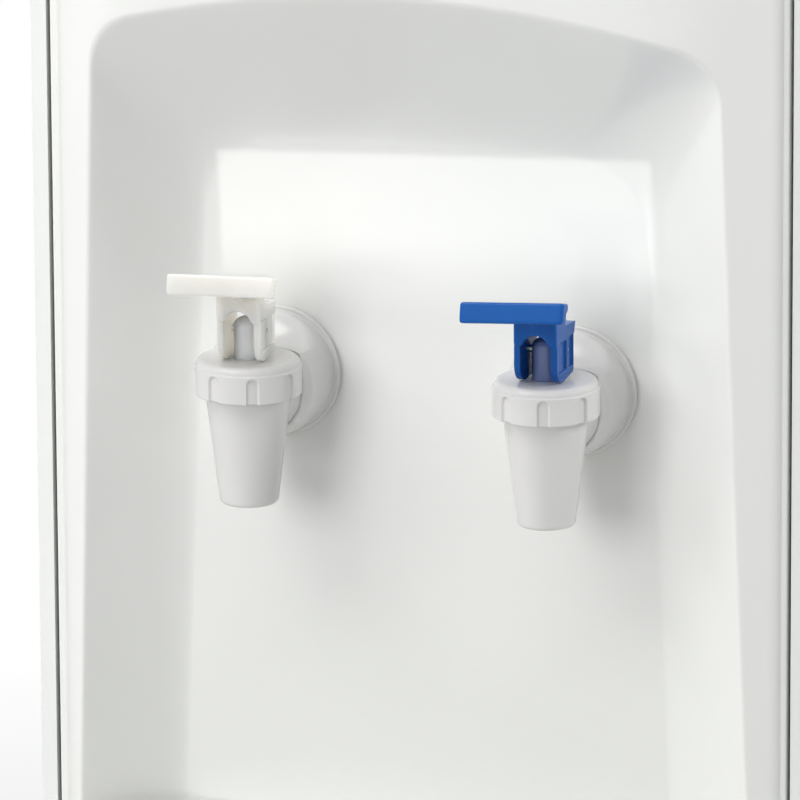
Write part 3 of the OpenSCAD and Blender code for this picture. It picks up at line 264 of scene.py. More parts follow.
# %% Window of light
def light_window(name, position, wall_y, corner, side, drop, watts):
    """Spot lamp whose beam fills a tilted rectangle on the flat wall at `wall_y`.

    The rectangle's upper left corner is `corner` (x, z), its upper side runs along the vector
    `side`, and it hangs down by `drop`, all in metres.
    """
    lamp = bpy.data.objects.new(name, bpy.data.lights.new(name, "SPOT"))
    lamp.data.energy = watts
    lamp.data.shadow_soft_size = 0.0015
    lamp.data.spot_size, lamp.data.spot_blend = math.radians(60), 0
    lamp.location = position
    lamp.rotation_euler = (math.radians(90), 0, 0)
    lamp.visible_camera = lamp.visible_glossy = False
    lamp.data.use_nodes = True
    tree = lamp.data.node_tree
    light = tree.nodes["Emission"]
    beam = add_node(tree, "ShaderNodeTexCoord")
    axes = add_node(tree, "ShaderNodeSeparateXYZ")
    tree.links.new(beam.outputs["Normal"], axes.inputs[0])

    def join(operation, first, second):
        """The result of a maths node on two sockets or numbers."""
        node = add_node(tree, "ShaderNodeMath", operation=operation)
        for socket, value in zip(node.inputs, (first, second)):
            if isinstance(value, (int, float)):
                socket.default_value = value
            else:
                tree.links.new(value, socket)
        return node.outputs[0]

    def edge(value, start, end):
        """Rises softly from 0 to 1 while the value goes from start to end."""
        node = add_node(tree, "ShaderNodeMapRange", interpolation_type="SMOOTHSTEP")
        node.inputs["From Min"].default_value = start
        node.inputs["From Max"].default_value = end
        tree.links.new(value, node.inputs["Value"])
        return node.outputs[0]

    def on_wall(axis, from_corner):
        """Where the beam meets the wall along one axis, counted from the rectangle's corner."""
        slope = join("DIVIDE", axes.outputs[axis], join("ABSOLUTE", axes.outputs["Z"], 0))
        return join("ADD", join("MULTIPLY", slope, wall_y - position.y), from_corner)

    wall_x = on_wall("X", position.x - corner[0])
    wall_z = on_wall("Y", position.z - corner[1])
    width = math.hypot(*side)
    run, rise = side[0] / width, side[1] / width
    along = join("ADD", join("MULTIPLY", wall_x, run), join("MULTIPLY", wall_z, rise))
    below = join("SUBTRACT", join("MULTIPLY", wall_x, rise), join("MULTIPLY", wall_z, run))
    blur = 0.0005
    inside = join("MULTIPLY", edge(along, -blur, blur), edge(along, width + blur, width - blur))
    inside = join("MULTIPLY", inside, edge(below, -blur, blur))
    inside = join("MULTIPLY", inside, edge(below, drop, drop * 0.4))
    tree.links.new(inside, light.inputs["Strength"])
    bpy.context.scene.collection.objects.link(lamp)


window_distance, window_side = 1.5, (0.168, 0.0062)
light_window(
    "wall_window", tap_middle + toward * window_distance, wall_y=front_y + 0.010,
    corner=(-0.0807, 0.8108), side=window_side, drop=0.066, watts=21,
)
print("the window of light is", round(math.hypot(*window_side), 3), "m wide")

# %% [markdown]
# ## Finishes
# The cooler is nearly all white, but its whites differ: enamelled steel at the sides, glossy
# moulded plastic at the front, a slightly softer plastic on the taps. Each finish is a
# Principled shader whose colour, gloss and fine relief vary with noise measured in
# millimetres, so the surface never looks like one flat colour, even close up.

# %% Helpers for finishes
def noise(tree, size, detail=2.0, stretch=(1, 1, 1)):
    """Noise whose lumps are about `size` metres across, fixed to the object."""
    position = add_node(tree, "ShaderNodeTexCoord")
    scaled = add_node(tree, "ShaderNodeMapping")
    scaled.inputs["Scale"].default_value = stretch
    texture = add_node(tree, "ShaderNodeTexNoise", Scale=1 / size, Detail=detail, Roughness=0.5)
    tree.links.new(position.outputs["Object"], scaled.inputs["Vector"])
    tree.links.new(scaled.outputs[0], texture.inputs["Vector"])
    return texture.outputs["Fac"]


def ramp(tree, value, low, high, low_at=0.3, high_at=0.7):
    """Turns noise into a colour between two others, or into a number between two others."""
    if isinstance(low, tuple):
        node = add_node(tree, "ShaderNodeValToRGB")
        first, last = node.color_ramp.elements
        first.color, first.position = (*low, 1), low_at
        last.color, last.position = (*high, 1), high_at
        tree.links.new(value, node.inputs[0])
        return node.outputs[0]
    span = {"From Min": low_at, "From Max": high_at, "To Min": low, "To Max": high}
    node = add_node(tree, "ShaderNodeMapRange", **span)
    tree.links.new(value, node.inputs["Value"])
    return node.outputs[0]


def relief(tree, shader, height, depth):
    """Fine relief of `depth` metres from a height between 0 and 1."""
    bump = add_node(tree, "ShaderNodeBump", Strength=1.0, Distance=depth)
    tree.links.new(height, bump.inputs["Height"])
    tree.links.new(bump.outputs[0], shader.inputs["Normal"])


def tint(colour, factor):
    """The colour, made lighter or darker by a factor."""
    return tuple(min(1, c * factor) for c in colour)


def moulded(name, colour, gloss, grain, cloud=0.02, cloud_size=0.03, grain_depth=0.00001, coat=0.0):
    """Moulded plastic: faint clouds in the colour, patches of softer gloss and a fine skin."""
    material, tree, shader = new_material(name)
    clouds = ramp(tree, noise(tree, cloud_size, 3), tint(colour, 1 - cloud), tint(colour, 1 + cloud / 2))
    tree.links.new(clouds, shader.inputs["Base Color"])
    tree.links.new(ramp(tree, noise(tree, cloud_size / 4, 4), *gloss), shader.inputs["Roughness"])
    relief(tree, shader, noise(tree, grain, 2), grain_depth)
    shader.inputs["Coat Weight"].default_value = coat
    return material


# %% White plastics and enamel
finishes = {
    "front_white": moulded(
        "front_white", (0.785, 0.79, 0.765), gloss=(0.11, 0.15), cloud=0.01, cloud_size=0.05, grain=0.012,
    ),
    "case_white": moulded("case_white", (0.79, 0.80, 0.78), gloss=(0.2, 0.26), cloud=0.01, grain=0.003),
    "grille_white": moulded(
        "grille_white", (0.82, 0.83, 0.80), gloss=(0.3, 0.4), grain=0.0008, grain_depth=0.00003,
    ),
    "inner_white": moulded(
        "inner_white", (0.78, 0.79, 0.77), gloss=(0.35, 0.5), grain=0.001, grain_depth=0.00003,
    ),
    "tap_white": moulded(
        "tap_white", (0.65, 0.643, 0.635), gloss=(0.15, 0.19), cloud=0.01, cloud_size=0.02, grain=0.004,
        grain_depth=0.000004,
    ),
}
print("white finishes:", len(finishes))

# %% [markdown]
# The two levers are small and thick, so some light enters them and comes back out. That is
# what makes the ivory one look warm in its shaded parts. Subsurface scattering does this.

# %% Lever plastics
def lever_plastic(name, colour, radius, weight, scale=0.003, specular=0.5):
    """Thick plastic: light enters it, spreads by `scale` metres and comes back out."""
    material = moulded(name, colour, gloss=(0.2, 0.26), cloud_size=0.01, grain=0.003, grain_depth=0.000003)
    shader = material.node_tree.nodes["Principled BSDF"]
    shader.inputs["Subsurface Weight"].default_value = weight
    shader.inputs["Subsurface Radius"].default_value = radius
    shader.inputs["Subsurface Scale"].default_value = scale
    shader.inputs["Specular IOR Level"].default_value = specular
    return material


finishes["lever_ivory"] = lever_plastic(
    "lever_ivory", (0.645, 0.635, 0.605), (1.0, 0.88, 0.7), 1.0, scale=0.018,
)
finishes["lever_blue"] = lever_plastic(
    "lever_blue", (0.003, 0.084, 0.34), (0.2, 0.5, 1.0), 0.08, specular=0.2,
)
print("lever finishes: ivory for room temperature, blue for cold")

# %% [markdown]
# The stems stand in the shade of their levers, and that light is painted into their colours.
# The one under the ivory lever is milky and gets real light through the lever, and on top of
# that its colour is painted lighter and warmer than the taps' white. The one under the blue
# lever has a dark grey blue painted in, for its shade and the blue light from its lever.

# %% Stem plastics
# painted light: a lighter, warmer colour than the taps' white, for the light that the ivory lever lets
# through
finishes["stem_ivory"] = lever_plastic(
    "stem_ivory", (0.90, 0.885, 0.85), (1.0, 0.9, 0.75), 1.0, scale=0.012,
)
# painted shade: a dark grey blue on a white stem, for the shade and blue light under the blue lever
finishes["stem_blue"] = lever_plastic("stem_blue", (0.14, 0.185, 0.36), (0.8, 0.9, 1.0), 0.2)
print("stem finishes: milky and grey blue")

# %% [markdown]
# The metals are mostly hidden, but the back shows copper and bright screws. Drawn metal has
# stains that change its gloss, and galvanised sheet has flat crystals, which Voronoi cells
# draw. The stainless finish gets noise that is stretched along one axis, like brushing.

# %% Metals
def metal(name, colour, gloss, stain, stretch=(1, 1, 1)):
    """Drawn metal: stains in its colour and gloss, and a fine grain."""
    stain_size, grain, grain_depth = 0.02, 0.0008, 0.00001
    material, tree, shader = new_material(name)
    shader.inputs["Metallic"].default_value = 1
    stains = ramp(tree, noise(tree, stain_size, 5), tint(colour, 1 - stain), colour)
    tree.links.new(stains, shader.inputs["Base Color"])
    tree.links.new(ramp(tree, noise(tree, stain_size / 3, 4), *gloss), shader.inputs["Roughness"])
    relief(tree, shader, noise(tree, grain, 3, stretch), grain_depth)
    return material


def spangled(name, colour):
    """Galvanised sheet: flat crystals, each a little lighter or darker than the next."""
    crystals_per_metre = 140
    material, tree, shader = new_material(name)
    shader.inputs["Metallic"].default_value = 1
    position = add_node(tree, "ShaderNodeTexCoord")
    cells = add_node(tree, "ShaderNodeTexVoronoi", Scale=crystals_per_metre, Randomness=1)
    tree.links.new(position.outputs["Object"], cells.inputs["Vector"])
    grey = add_node(tree, "ShaderNodeRGBToBW")
    tree.links.new(cells.outputs["Color"], grey.inputs[0])
    shades = ramp(tree, grey.outputs[0], tint(colour, 0.82), colour, 0.2, 0.8)
    tree.links.new(shades, shader.inputs["Base Color"])
    tree.links.new(ramp(tree, grey.outputs[0], 0.32, 0.5, 0.2, 0.8), shader.inputs["Roughness"])
    relief(tree, shader, noise(tree, 0.002, 3), 0.00002)
    return material


finishes["zinc_steel"] = spangled("zinc_steel", (0.66, 0.68, 0.70))
finishes["stainless"] = metal("stainless", (0.72, 0.72, 0.71), (0.2, 0.32), stain=0.05, stretch=(1, 1, 12))
finishes["copper"] = metal("copper", (0.72, 0.36, 0.20), (0.22, 0.4), stain=0.3)
print("metal finishes: zinc, stainless and copper")

# %% [markdown]
# Black parts show their grain by gloss, not by colour: the enamelled compressor is smooth and
# wavy, the plastic covers have a fine leather grain and the rubber feet are nearly matt. The
# tank wears beads of foam, which Voronoi cells draw.

# %% Black parts and clear tubes
finishes["black_steel"] = moulded(
    "black_steel", (0.022, 0.022, 0.024), gloss=(0.16, 0.3), cloud=0.3, grain=0.003, grain_depth=0.00006,
    coat=0.3,
)
finishes["black_plastic"] = moulded(
    "black_plastic", (0.025, 0.025, 0.027), gloss=(0.38, 0.5), cloud=0.2, grain=0.0005, grain_depth=0.00004,
)
finishes["black_rubber"] = moulded(
    "black_rubber", (0.03, 0.03, 0.031), gloss=(0.65, 0.85), cloud=0.3, cloud_size=0.006, grain=0.0004,
    grain_depth=0.00005,
)
finishes["silicone"] = lever_plastic("silicone", (0.80, 0.79, 0.75), (1, 0.9, 0.8), 0.5)


# %% Foam
def beaded(name, colour):
    """Foam of pressed beads, each raised in its middle, with shade painted darker towards its rim."""
    beads_per_metre = 330
    material, tree, shader = new_material(name)
    position = add_node(tree, "ShaderNodeTexCoord")
    beads = add_node(tree, "ShaderNodeTexVoronoi", Scale=beads_per_metre, Randomness=0.9)
    tree.links.new(position.outputs["Object"], beads.inputs["Vector"])
    # painted shade: each bead gets darker towards its rim, where the grooves between the beads lie
    shades = ramp(tree, beads.outputs["Distance"], colour, tint(colour, 0.86), 0.3, 0.75)
    tree.links.new(shades, shader.inputs["Base Color"])
    tree.links.new(ramp(tree, noise(tree, 0.004), 0.6, 0.8), shader.inputs["Roughness"])
    relief(tree, shader, ramp(tree, beads.outputs["Distance"], 1.0, 0.0, 0.1, 0.8), 0.0003)
    return material


finishes["foam"] = beaded("foam", (0.85, 0.85, 0.83))
print("finishes in all:", len(finishes))

# %% [markdown]
# ## Dressing the solids
# The solid model already says which finish every piece wears: the name of its material is
# the slot. Swapping each material for the finish of the same name dresses all of them in one
# loop, and a piece that is drawn anew later simply stands in for its solid.

# %% Give every solid its finish
worn_by = {}
for name, solid in nodes.items():
    slot = solid.data.materials[0].name.split(".")[0]
    for index in range(len(solid.data.materials)):
        solid.data.materials[index] = finishes[slot]
    worn_by.setdefault(slot, []).append(name)
for slot in worn_by:
    print(slot, "on", len(worn_by[slot]), "solids")

# %% [markdown]
# ## Softer edges on the solids
# A real edge is never perfectly sharp: sheet metal is folded, plastic leaves its mould with a
# small radius. A Decimate modifier first joins the triangles of each flat face. Then a Bevel
# rounds only edges sharper than 35 degrees, and weighted normals keep the flat faces flat.
# The modifiers change what is seen, not the solid.

# %% Soft edges
edge_radius = {
    "side_panel_left": 0.5, "side_panel_right": 0.5, "rear_panel": 0.4, "door": 1.2, "drip_tray": 0.9,
    "drip_grille": 0.5, "bottle_seat": 0.8, "base_pan": 0.4, "storage_liner": 0.8, "top_cover": 0.6,
    "relay_cover": 1.0, "switch_frame": 0.6, "power_switch": 0.6, "thermostat_knob": 0.4, "cord_gland": 0.5,
    "condenser_clips": 0.6, "tank_shelf": 0.4, "tank_lid": 0.6, "drain_plug": 0.6, "feed_probe": 0.4,
}
for name, radius in edge_radius.items():
    solid = nodes[name]
    merge = solid.modifiers.new("join_flat_faces", "DECIMATE")
    merge.decimate_type = "DISSOLVE"
    merge.angle_limit = math.radians(0.5)
    bevel = solid.modifiers.new("soft_edges", "BEVEL")
    bevel.width = radius * MM
    bevel.segments = 3
    bevel.limit_method = "ANGLE"
    bevel.angle_limit = math.radians(35)
    bevel.use_clamp_overlap = True
    normals = solid.modifiers.new("even_normals", "WEIGHTED_NORMAL")
    normals.keep_sharp = True
print("soft edges on", len(edge_radius), "solids")

# %% [markdown]
# ## The moulded front
# On the real cooler this is one glossy plastic shell: a bowed face with a deep arched alcove.
# Its beauty is in how softly the walls run into the back, so it is drawn as one skin of
# rings. Each ring has the same number of points, from the outer edge over the rounded rim to
# the back wall. Neighbouring rings are only a few millimetres apart, so reflections flow.

# %% Helpers for curves
def between(a, b, t):
    """The value that lies at the share t of the way from a to b."""
    return a + (b - a) * t


def clamped(value):
    """The value, kept between 0 and 1."""
    return min(1, max(0, value))


def eased(t, size):
    """Goes softly from 0 to `size` while t goes from 0 to 1."""
    return size * t * t * (3 - 2 * t)


def bowed(x):
    """Where the bowed face lies at x, in millimetres behind the front plane."""
    bow_depth, bow_half, bow_power = 24, 140.2, 9
    return -bow_depth * (1 - min(1, abs(x) / bow_half) ** bow_power)


# %% Outline of the alcove
side_steps, corner_steps, arch_steps, floor_steps = 40, 14, 40, 60


def arched_outline(half, half_floor, top, floor_z, arch_radius, corner_radius):
    """Points (x, z) of the arched outline, anticlockwise from the lower right, in millimetres."""
    middle = top - arch_radius
    corner_x = half - corner_radius
    corner_z = middle + math.sqrt((arch_radius - corner_radius) ** 2 - corner_x ** 2)
    lean = math.atan2(corner_z - middle, corner_x)
    side_x = corner_x + corner_radius
    right = []
    for i in range(side_steps):
        t = i / side_steps
        right.append((between(half_floor, side_x, t), between(floor_z, corner_z, t)))
    for i in range(corner_steps + 1):
        angle = lean * i / corner_steps
        right.append((corner_x + corner_radius * math.cos(angle), corner_z + corner_radius * math.sin(angle)))
    for i in range(1, arch_steps + 1):
        angle = lean + (math.pi / 2 - lean) * i / arch_steps
        right.append((arch_radius * math.cos(angle), middle + arch_radius * math.sin(angle)))
    left = [(-x, z) for x, z in reversed(right[:-1])]
    base = [(between(-half_floor, half_floor, i / floor_steps), floor_z) for i in range(1, floor_steps)]
    return right + left + base


alcove_half, alcove_half_floor, alcove_top, alcove_floor = 121, 132.5, 880, 520
side_inset, top_inset, alcove_back = 36, 62, 10
rim_outline = arched_outline(alcove_half, alcove_half_floor, alcove_top, alcove_floor, 432, 22)
back_outline = arched_outline(
    alcove_half - side_inset, alcove_half_floor - side_inset, alcove_top - top_inset, alcove_floor, 900, 30,
)
print("points in each ring:", len(rim_outline))

# %% [markdown]
# The walls lean inward from the rim to the back, and they do so in a curve: steep near the
# rim, nearly flat at the back. Two simple formulas of one number t give the depth and the
# inset of each ring, so the curve is even all round, also in the corners.

# %% Rings of the alcove wall
def wall_ring(t):
    """One ring of the wall: t is 0 at the rim and 1 where the wall has become the back."""
    depth, inset = t * (2 - t), t * (1.6 - 0.6 * t)
    return [
        (between(px, qx, inset), between(bowed(px), alcove_back, depth), between(pz, qz, inset))
        for (px, pz), (qx, qz) in zip(rim_outline, back_outline)
    ]


wall_start, wall_steps = 0.022, 48
wall_rings = [wall_ring(wall_start + (1 - wall_start) * i / wall_steps) for i in range(wall_steps + 1)]
print("rings in the wall:", len(wall_rings))

# %% [markdown]
# Outside the alcove each ring is a rectangle seen from the alcove's middle: rays from the
# middle through the points of the rim meet it. The four rays nearest its corners are moved
# into them, so the shell keeps its square outline. At the outer edge the rings stand close
# together and step down, which rounds the edge.

# %% Rings round the bowed face
face_bottom, face_top, half_face, edge_depth = fascia_low.z / MM, fascia_high.z / MM, 142.6, 12
ray_middle = (0, 720)


def rectangle_ring(inset):
    """Points (x, z) on a rectangle that lies `inset` millimetres inside the front's outline."""
    half, low, high = half_face - inset, face_bottom + inset, face_top - inset
    ring = []
    for x, z in rim_outline:
        dx, dz = x - ray_middle[0], z - ray_middle[1]
        reaches = [half / abs(dx)] if dx else []
        if dz:
            reaches.append(((high if dz > 0 else low) - ray_middle[1]) / dz)
        reach = min(reaches)
        ring.append((ray_middle[0] + dx * reach, ray_middle[1] + dz * reach))
    for corner in ((half, low), (half, high), (-half, high), (-half, low)):
        nearest = min(range(len(ring)), key=lambda i: math.dist(ring[i], corner))
        ring[nearest] = corner
    return ring


edge_profile = ((0, 0.9), (0.06, 0.5), (0.26, 0.2), (0.6, 0.04), (1.0, 0), (1.8, 0), (2.35, 0))
outer_rings = [[(x, edge_depth, z) for x, z in rectangle_ring(0)]]
for inset, drop in edge_profile:
    outer_rings.append([(x, bowed(x) + drop, z) for x, z in rectangle_ring(inset)])
print("rings at the outer edge:", len(outer_rings))

# %% [markdown]
# The rim of the alcove is rounded by only a millimetre and a half. Each point of it runs
# along a small curve, which starts on the face, bends towards the sharp corner and ends on
# the first ring of the wall. Between the outer edge and the rim the face's rings are spread
# evenly.

# %% Face and rounded rim
rim_radius, face_inset, face_steps, rim_steps = 1.5, 2.6, 25, 8
inner_rectangle = rectangle_ring(face_inset)
face_start = []
for (px, pz), (rx, rz) in zip(rim_outline, inner_rectangle):
    away = Vector((rx - px, rz - pz)).normalized() * rim_radius
    face_start.append((px + away.x, pz + away.y))
face_rings = []
for step in range(face_steps + 1):
    t = step / face_steps
    pairs = zip(inner_rectangle, face_start)
    flat = [(between(rx, ax, t), between(rz, az, t)) for (rx, rz), (ax, az) in pairs]
    face_rings.append([(x, bowed(x), z) for x, z in flat])
rim_rings = []
for step in range(1, rim_steps):
    t = step / rim_steps
    ring = []
    for start, (px, pz), end in zip(face_rings[-1], rim_outline, wall_rings[0]):
        bend = zip(start, (px, bowed(px), pz), end)
        ring.append(tuple((1 - t) ** 2 * a + 2 * t * (1 - t) * b + t * t * c for a, b, c in bend))
    rim_rings.append(ring)
shell_rings = outer_rings + face_rings + rim_rings + wall_rings
print("rings in the shell:", len(shell_rings))

# %% [markdown]
# Every piece that is drawn anew goes through the same steps: it becomes an object, gets its
# finish, is told which body it rides on, and the solid it stands in for is hidden. Its faces are
# shaded smooth, except across edges sharper than a given angle.

# %% Skin over rings
def new_piece(name, mesh, finish, body, replaced, smooth_angle):
    """Makes an object from a bmesh, gives it its finish and names the body it rides on."""
    data = bpy.data.meshes.new(name)
    mesh.to_mesh(data)
    mesh.free()
    data.polygons.foreach_set("use_smooth", [True] * len(data.polygons))
    data.set_sharp_from_angle(angle=math.radians(smooth_angle))
    piece = bpy.data.objects.new(name, data)
    bpy.context.scene.collection.objects.link(piece)
    data.materials.append(finishes[finish])
    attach(piece, body)
    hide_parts(replaced)
    print(name, "has", len(data.polygons), "faces")
    return piece


def skin(mesh, rings):
    """Joins closed rings of points with quads and returns the rings of vertices."""
    made = [[mesh.verts.new(place(*point)) for point in ring] for ring in rings]
    count = len(rings[0])
    for low, high in zip(made, made[1:]):
        for i in range(count):
            j = (i + 1) % count
            mesh.faces.new((low[i], low[j], high[j], high[i]))
    return made


# %% [markdown]
# The back wall is flat, with a round hole for each tap and two slots where the drip tray
# hooks in. A triangle fill closes the last ring round those holes, and its triangles stay
# flat shaded, or the big wall would mirror like a bent one. Solidify then gives the whole
# skin the thickness of a moulded shell.

# %% Holes in the back wall
hole_x, hole_radius, hole_steps = 57.5, 8.3, 32
slot_x, slot_half, slot_low, slot_high = 50, 7.5, -10.5, 1.5
tray_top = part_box("drip_tray")[1].z / MM
turns = [math.tau * i / hole_steps for i in range(hole_steps)]
holes = []
for side in (-1, 1):
    holes.append([
        (side * hole_x + hole_radius * math.cos(a), tap_height + hole_radius * math.sin(a)) for a in turns
    ])
for side in (-1, 1):
    x0, x1 = side * slot_x - slot_half, side * slot_x + slot_half
    z0, z1 = tray_top + slot_low, tray_top + slot_high
    holes.append([(x0, z0), (x1, z0), (x1, z1), (x0, z1)])
print("holes and slots:", len(holes))

# %% Front shell
shell = bmesh.new()
last_ring = skin(shell, shell_rings)[-1]
back_edges = [shell.edges.get(pair) for pair in zip(last_ring, last_ring[1:] + last_ring[:1])]
for hole in holes:
    corners = [shell.verts.new(place(x, alcove_back, z)) for x, z in hole]
    back_edges += [shell.edges.new(pair) for pair in zip(corners, corners[1:] + corners[:1])]
filled = bmesh.ops.triangle_fill(shell, use_beauty=True, edges=back_edges, normal=(0, -1, 0))
shell.normal_update()
for face in filled["geom"]:
    if isinstance(face, bmesh.types.BMFace) and face.normal.y > 0:
        face.normal_flip()
front_shell = new_piece("front_shell", shell, "front_white", "cabinet", "front_fascia", smooth_angle=50)

# %% Flat back wall and thickness
back_y = place(0, alcove_back, 0).y
points = front_shell.data.vertices
for face in front_shell.data.polygons:
    if all(abs(points[i].co.y - back_y) < 0.00001 for i in face.vertices):
        face.use_smooth = False
thickness = front_shell.modifiers.new("shell_thickness", "SOLIDIFY")
thickness.thickness = 2.8 * MM
thickness.offset = -1
print("shell thickness", round(thickness.thickness / MM, 2), "mm")

# %% [markdown]
# ## The taps
# Each tap is moulded in several pieces: a body whose spout narrows downward, a domed cover
# where its arm meets the wall, a screw cap with eight finger notches and a fork-shaped lever
# on a rising stem. Moulded pieces have no sharp edges anywhere, inside corners included. For
# all but the cap the solid already has the form, so its mesh is copied, turned into a fine
# even grid by a voxel Remesh and relaxed by Smooth. That rounds every edge and fills every
# inside corner at once, which single bevels can't do where curves meet.

# %% Helpers for softened copies
def bake(piece):
    """Gives the piece the mesh that its modifiers make, and removes them."""
    shown = piece.evaluated_get(bpy.context.evaluated_depsgraph_get())
    made, before = bpy.data.meshes.new_from_object(shown), piece.data
    piece.modifiers.clear()
    piece.data = made
    bpy.data.meshes.remove(before)


def edit(data, change):
    """Lets `change` work on a mesh."""
    mesh = bmesh.new()
    mesh.from_mesh(data)
    change(mesh)
    mesh.to_mesh(data)
    mesh.free()


# %% Soften a copy of a solid
def softened(name, node, finish, body, voxel, rounds, keep, add=None, change=None):
    """A softly rounded copy of a solid, on a grid of `voxel` millimetres.

    `add` works on the mesh before the grid is made and `change` after it. Of all its
    triangles the share `keep` is left in the end.
    """
    copy = bpy.data.objects.new(name, nodes[node].data.copy())
    bpy.context.scene.collection.objects.link(copy)
    if add:
        edit(copy.data, add)
    weld = copy.modifiers.new("weld", "WELD")
    weld.merge_threshold = 0.00001
    grid = copy.modifiers.new("grid", "REMESH")
    grid.mode = "VOXEL"
    grid.voxel_size = voxel * MM
    relax = copy.modifiers.new("relax", "SMOOTH")
    relax.factor = 0.5
    relax.iterations = rounds
    bake(copy)
    if change:
        edit(copy.data, change)
    fewer = copy.modifiers.new("fewer", "DECIMATE")
    fewer.ratio = keep
    bake(copy)
    copy.data.name = name
    copy.data.materials.clear()
    copy.data.materials.append(finishes[finish])
    copy.data.polygons.foreach_set("use_smooth", [True] * len(copy.data.polygons))
    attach(copy, body)
    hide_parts(node)
    print(name, "has", len(copy.data.polygons), "faces")


# %% [markdown]
# The domed cover hugs the arm. On the solid a running gap of a third of a millimetre is left
# between them, which would read as a black line, so the dressed cover closes it: points on
# its bore move inward until they meet the arm. Above the cap the real cover flows down to the
# cap's edge like a bell, so points there sink the more, the nearer they are to the cap. Those
# right behind the cap also move towards it by half a millimetre, so no dark slit is left.

# %% Places on a tap
cover_low, cover_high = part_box("flange_cover_right")
arm_axis_z = (cover_low.z + cover_high.z) / 2
arm_height = (arm_axis_z - cap_top) / MM
arm_radius, cap_radius = 18, 20


def tap_offset(side, point):
    """Position from the tap's axis and the top of its cap, in millimetres."""
    x, y = point.x - tap_sides[side] * tap_x, point.y - tap_y
    return Vector((x / MM, y / MM, (point.z - cap_top) / MM))


def tap_place(side, x, y, z):
    """A point in millimetres from the tap's axis, its height counted from the top of the cap."""
    return Vector((tap_sides[side] * tap_x + x * MM, tap_y + y * MM, cap_top + z * MM))


print("the arm's axis lies", round(-arm_height, 1), "mm under the top of the cap")

# %% Cover that flows down to the cap
flow_level, flow_from, flow_length = -0.8, 20.6, 13
arm_sink, sink_blend, arm_band, arm_blend = 1.4, 2, 1.2, 0.6
slit_pull, slit_from, slit_length, slit_side = 0.55, 20.7, 3, 4
cap_wall, cap_wall_blend = 19, 1.4


def flow_to_cap(side):
    """Returns a change that lets everything behind the cap flow down to the cap's edge.

    At `flow_from` millimetres from the tap's axis all points come down to `flow_level`, and
    `flow_length` farther out they keep their height. On the arm they sink by `arm_sink` more.
    Points within `slit_length` of the cap are pulled towards it by `slit_pull`.
    """
    def change(mesh):
        for vert in mesh.verts:
            x, y, z = tap_offset(side, vert.co)
            if y <= 0:
                continue
            away = math.hypot(x, y)
            on_arm = clamped((arm_radius + arm_band - math.hypot(x, z - arm_height)) / arm_blend)
            if z > flow_level:
                sink = arm_sink * min(1, (z - flow_level) / sink_blend) * on_arm
                rise = eased(clamped((away - flow_from) / flow_length), z - flow_level)
                z = flow_level - sink + rise
            near = clamped(1 - (away - slit_from) / slit_length) * min(1, y / slit_side)
            near *= clamped((away - cap_wall) / cap_wall_blend)
            pull = 1 - slit_pull * near / away
            vert.co = tap_place(side, x * pull, y * pull, z)
    return change


# %% Cover that hugs the arm
bore_band, bore_overlap, bore_rest = 0.75, 0.12, 0.2


def close_bore(side):
    """Returns a change that shrinks the cover's bore onto the arm and lets the cover flow.

    Points less than `bore_band` outside the arm move to `bore_overlap` inside it, apart from
    the share `bore_rest` of their distance, which keeps them in order.
    """
    inner, outer = arm_radius * MM, (arm_radius + bore_band) * MM

    def change(mesh):
        for vert in mesh.verts:
            x, z = vert.co.x - tap_sides[side] * tap_x, vert.co.z - arm_axis_z
            reach = math.hypot(x, z)
            if inner < reach < outer:
                target = (arm_radius - bore_overlap) * MM + (reach - inner) * bore_rest
                vert.co.x += x / reach * (target - reach)
                vert.co.z += z / reach * (target - reach)
        flow_to_cap(side)(mesh)
    return change


# %% Tap bodies and covers
for side in tap_sides:
    softened(
        f"spout_and_arm_{side}", f"tap_body_{side}", "tap_white", "cabinet",
        voxel=0.4, rounds=6, keep=0.35, change=flow_to_cap(side),
    )
    softened(
        f"domed_cover_{side}", f"flange_cover_{side}", "tap_white", "cabinet",
        voxel=0.3, rounds=3, keep=0.3, change=close_bore(side),
    )

# %% [markdown]
# ## The levers
# The steel pin of each lever ends inside its legs, so from outside no hole is seen. The
# solid's holes run through. A short plug closes each of them, and a post mends the rib on
# the leg where the hole cuts it. Both are added before the grid is made, which melts them
# into the leg.

# %% Closed pin holes
plug_radius, plug_sides = 1.9, 24
leg_width, recess_depth, rib_width, rib_mend, pin_inset = 2.5, 0.8, 2.4, 4, 0.2


def plug_pin_holes(side):
    """Returns an addition that fills the pin hole in each leg and mends the rib it cuts."""
    pin_low, pin_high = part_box(f"lever_pin_{side}")
    middle = Vector([(a + b) / 2 for a, b in zip(pin_low, pin_high)])
    outer = (pin_high.x - pin_low.x) / 2 + pin_inset * MM
    leg, recess, rib = leg_width * MM, recess_depth * MM, rib_width * MM

    def beside(end, distance):
        return Matrix.Translation(middle + Vector((end * distance, 0, 0)))

    def add(mesh):
        for end in (-1, 1):
            bmesh.ops.create_cone(
                mesh, cap_ends=True, segments=plug_sides, radius1=plug_radius * MM,
                radius2=plug_radius * MM, depth=leg - recess,
                matrix=beside(end, outer - (leg + recess) / 2) @ Matrix.Rotation(math.pi / 2, 4, "Y"),
            )
            post = Matrix.Diagonal((recess, rib, rib_mend * MM, 1))
            bmesh.ops.create_cube(mesh, size=1, matrix=beside(end, outer - recess / 2) @ post)
    return add


# %% [markdown]
# A lever's bar is thicker than its fork and has rounder edges, so its points are relaxed many
# more times. The bar is also a little wider than the solid's, and the block behind the web is
# lower. No two levers sit quite alike on their pins either: the ivory one hangs a little to
# the right, and the blue one is turned a little to the left and dips.

# %% Shape of the levers
bar_rounds, bar_y, bar_from, bar_blend = 70, -4, 15.5, 1.5
bar_end_y, bar_end_blend, bar_swell, bar_middle = -16, 8, 0.05, 20
block_level, block_drop, web_y, block_blend = 16, 0.6, -13, 12
bend_level, bend_blend, lever_back, lever_reach = 8, 8, 8, 43


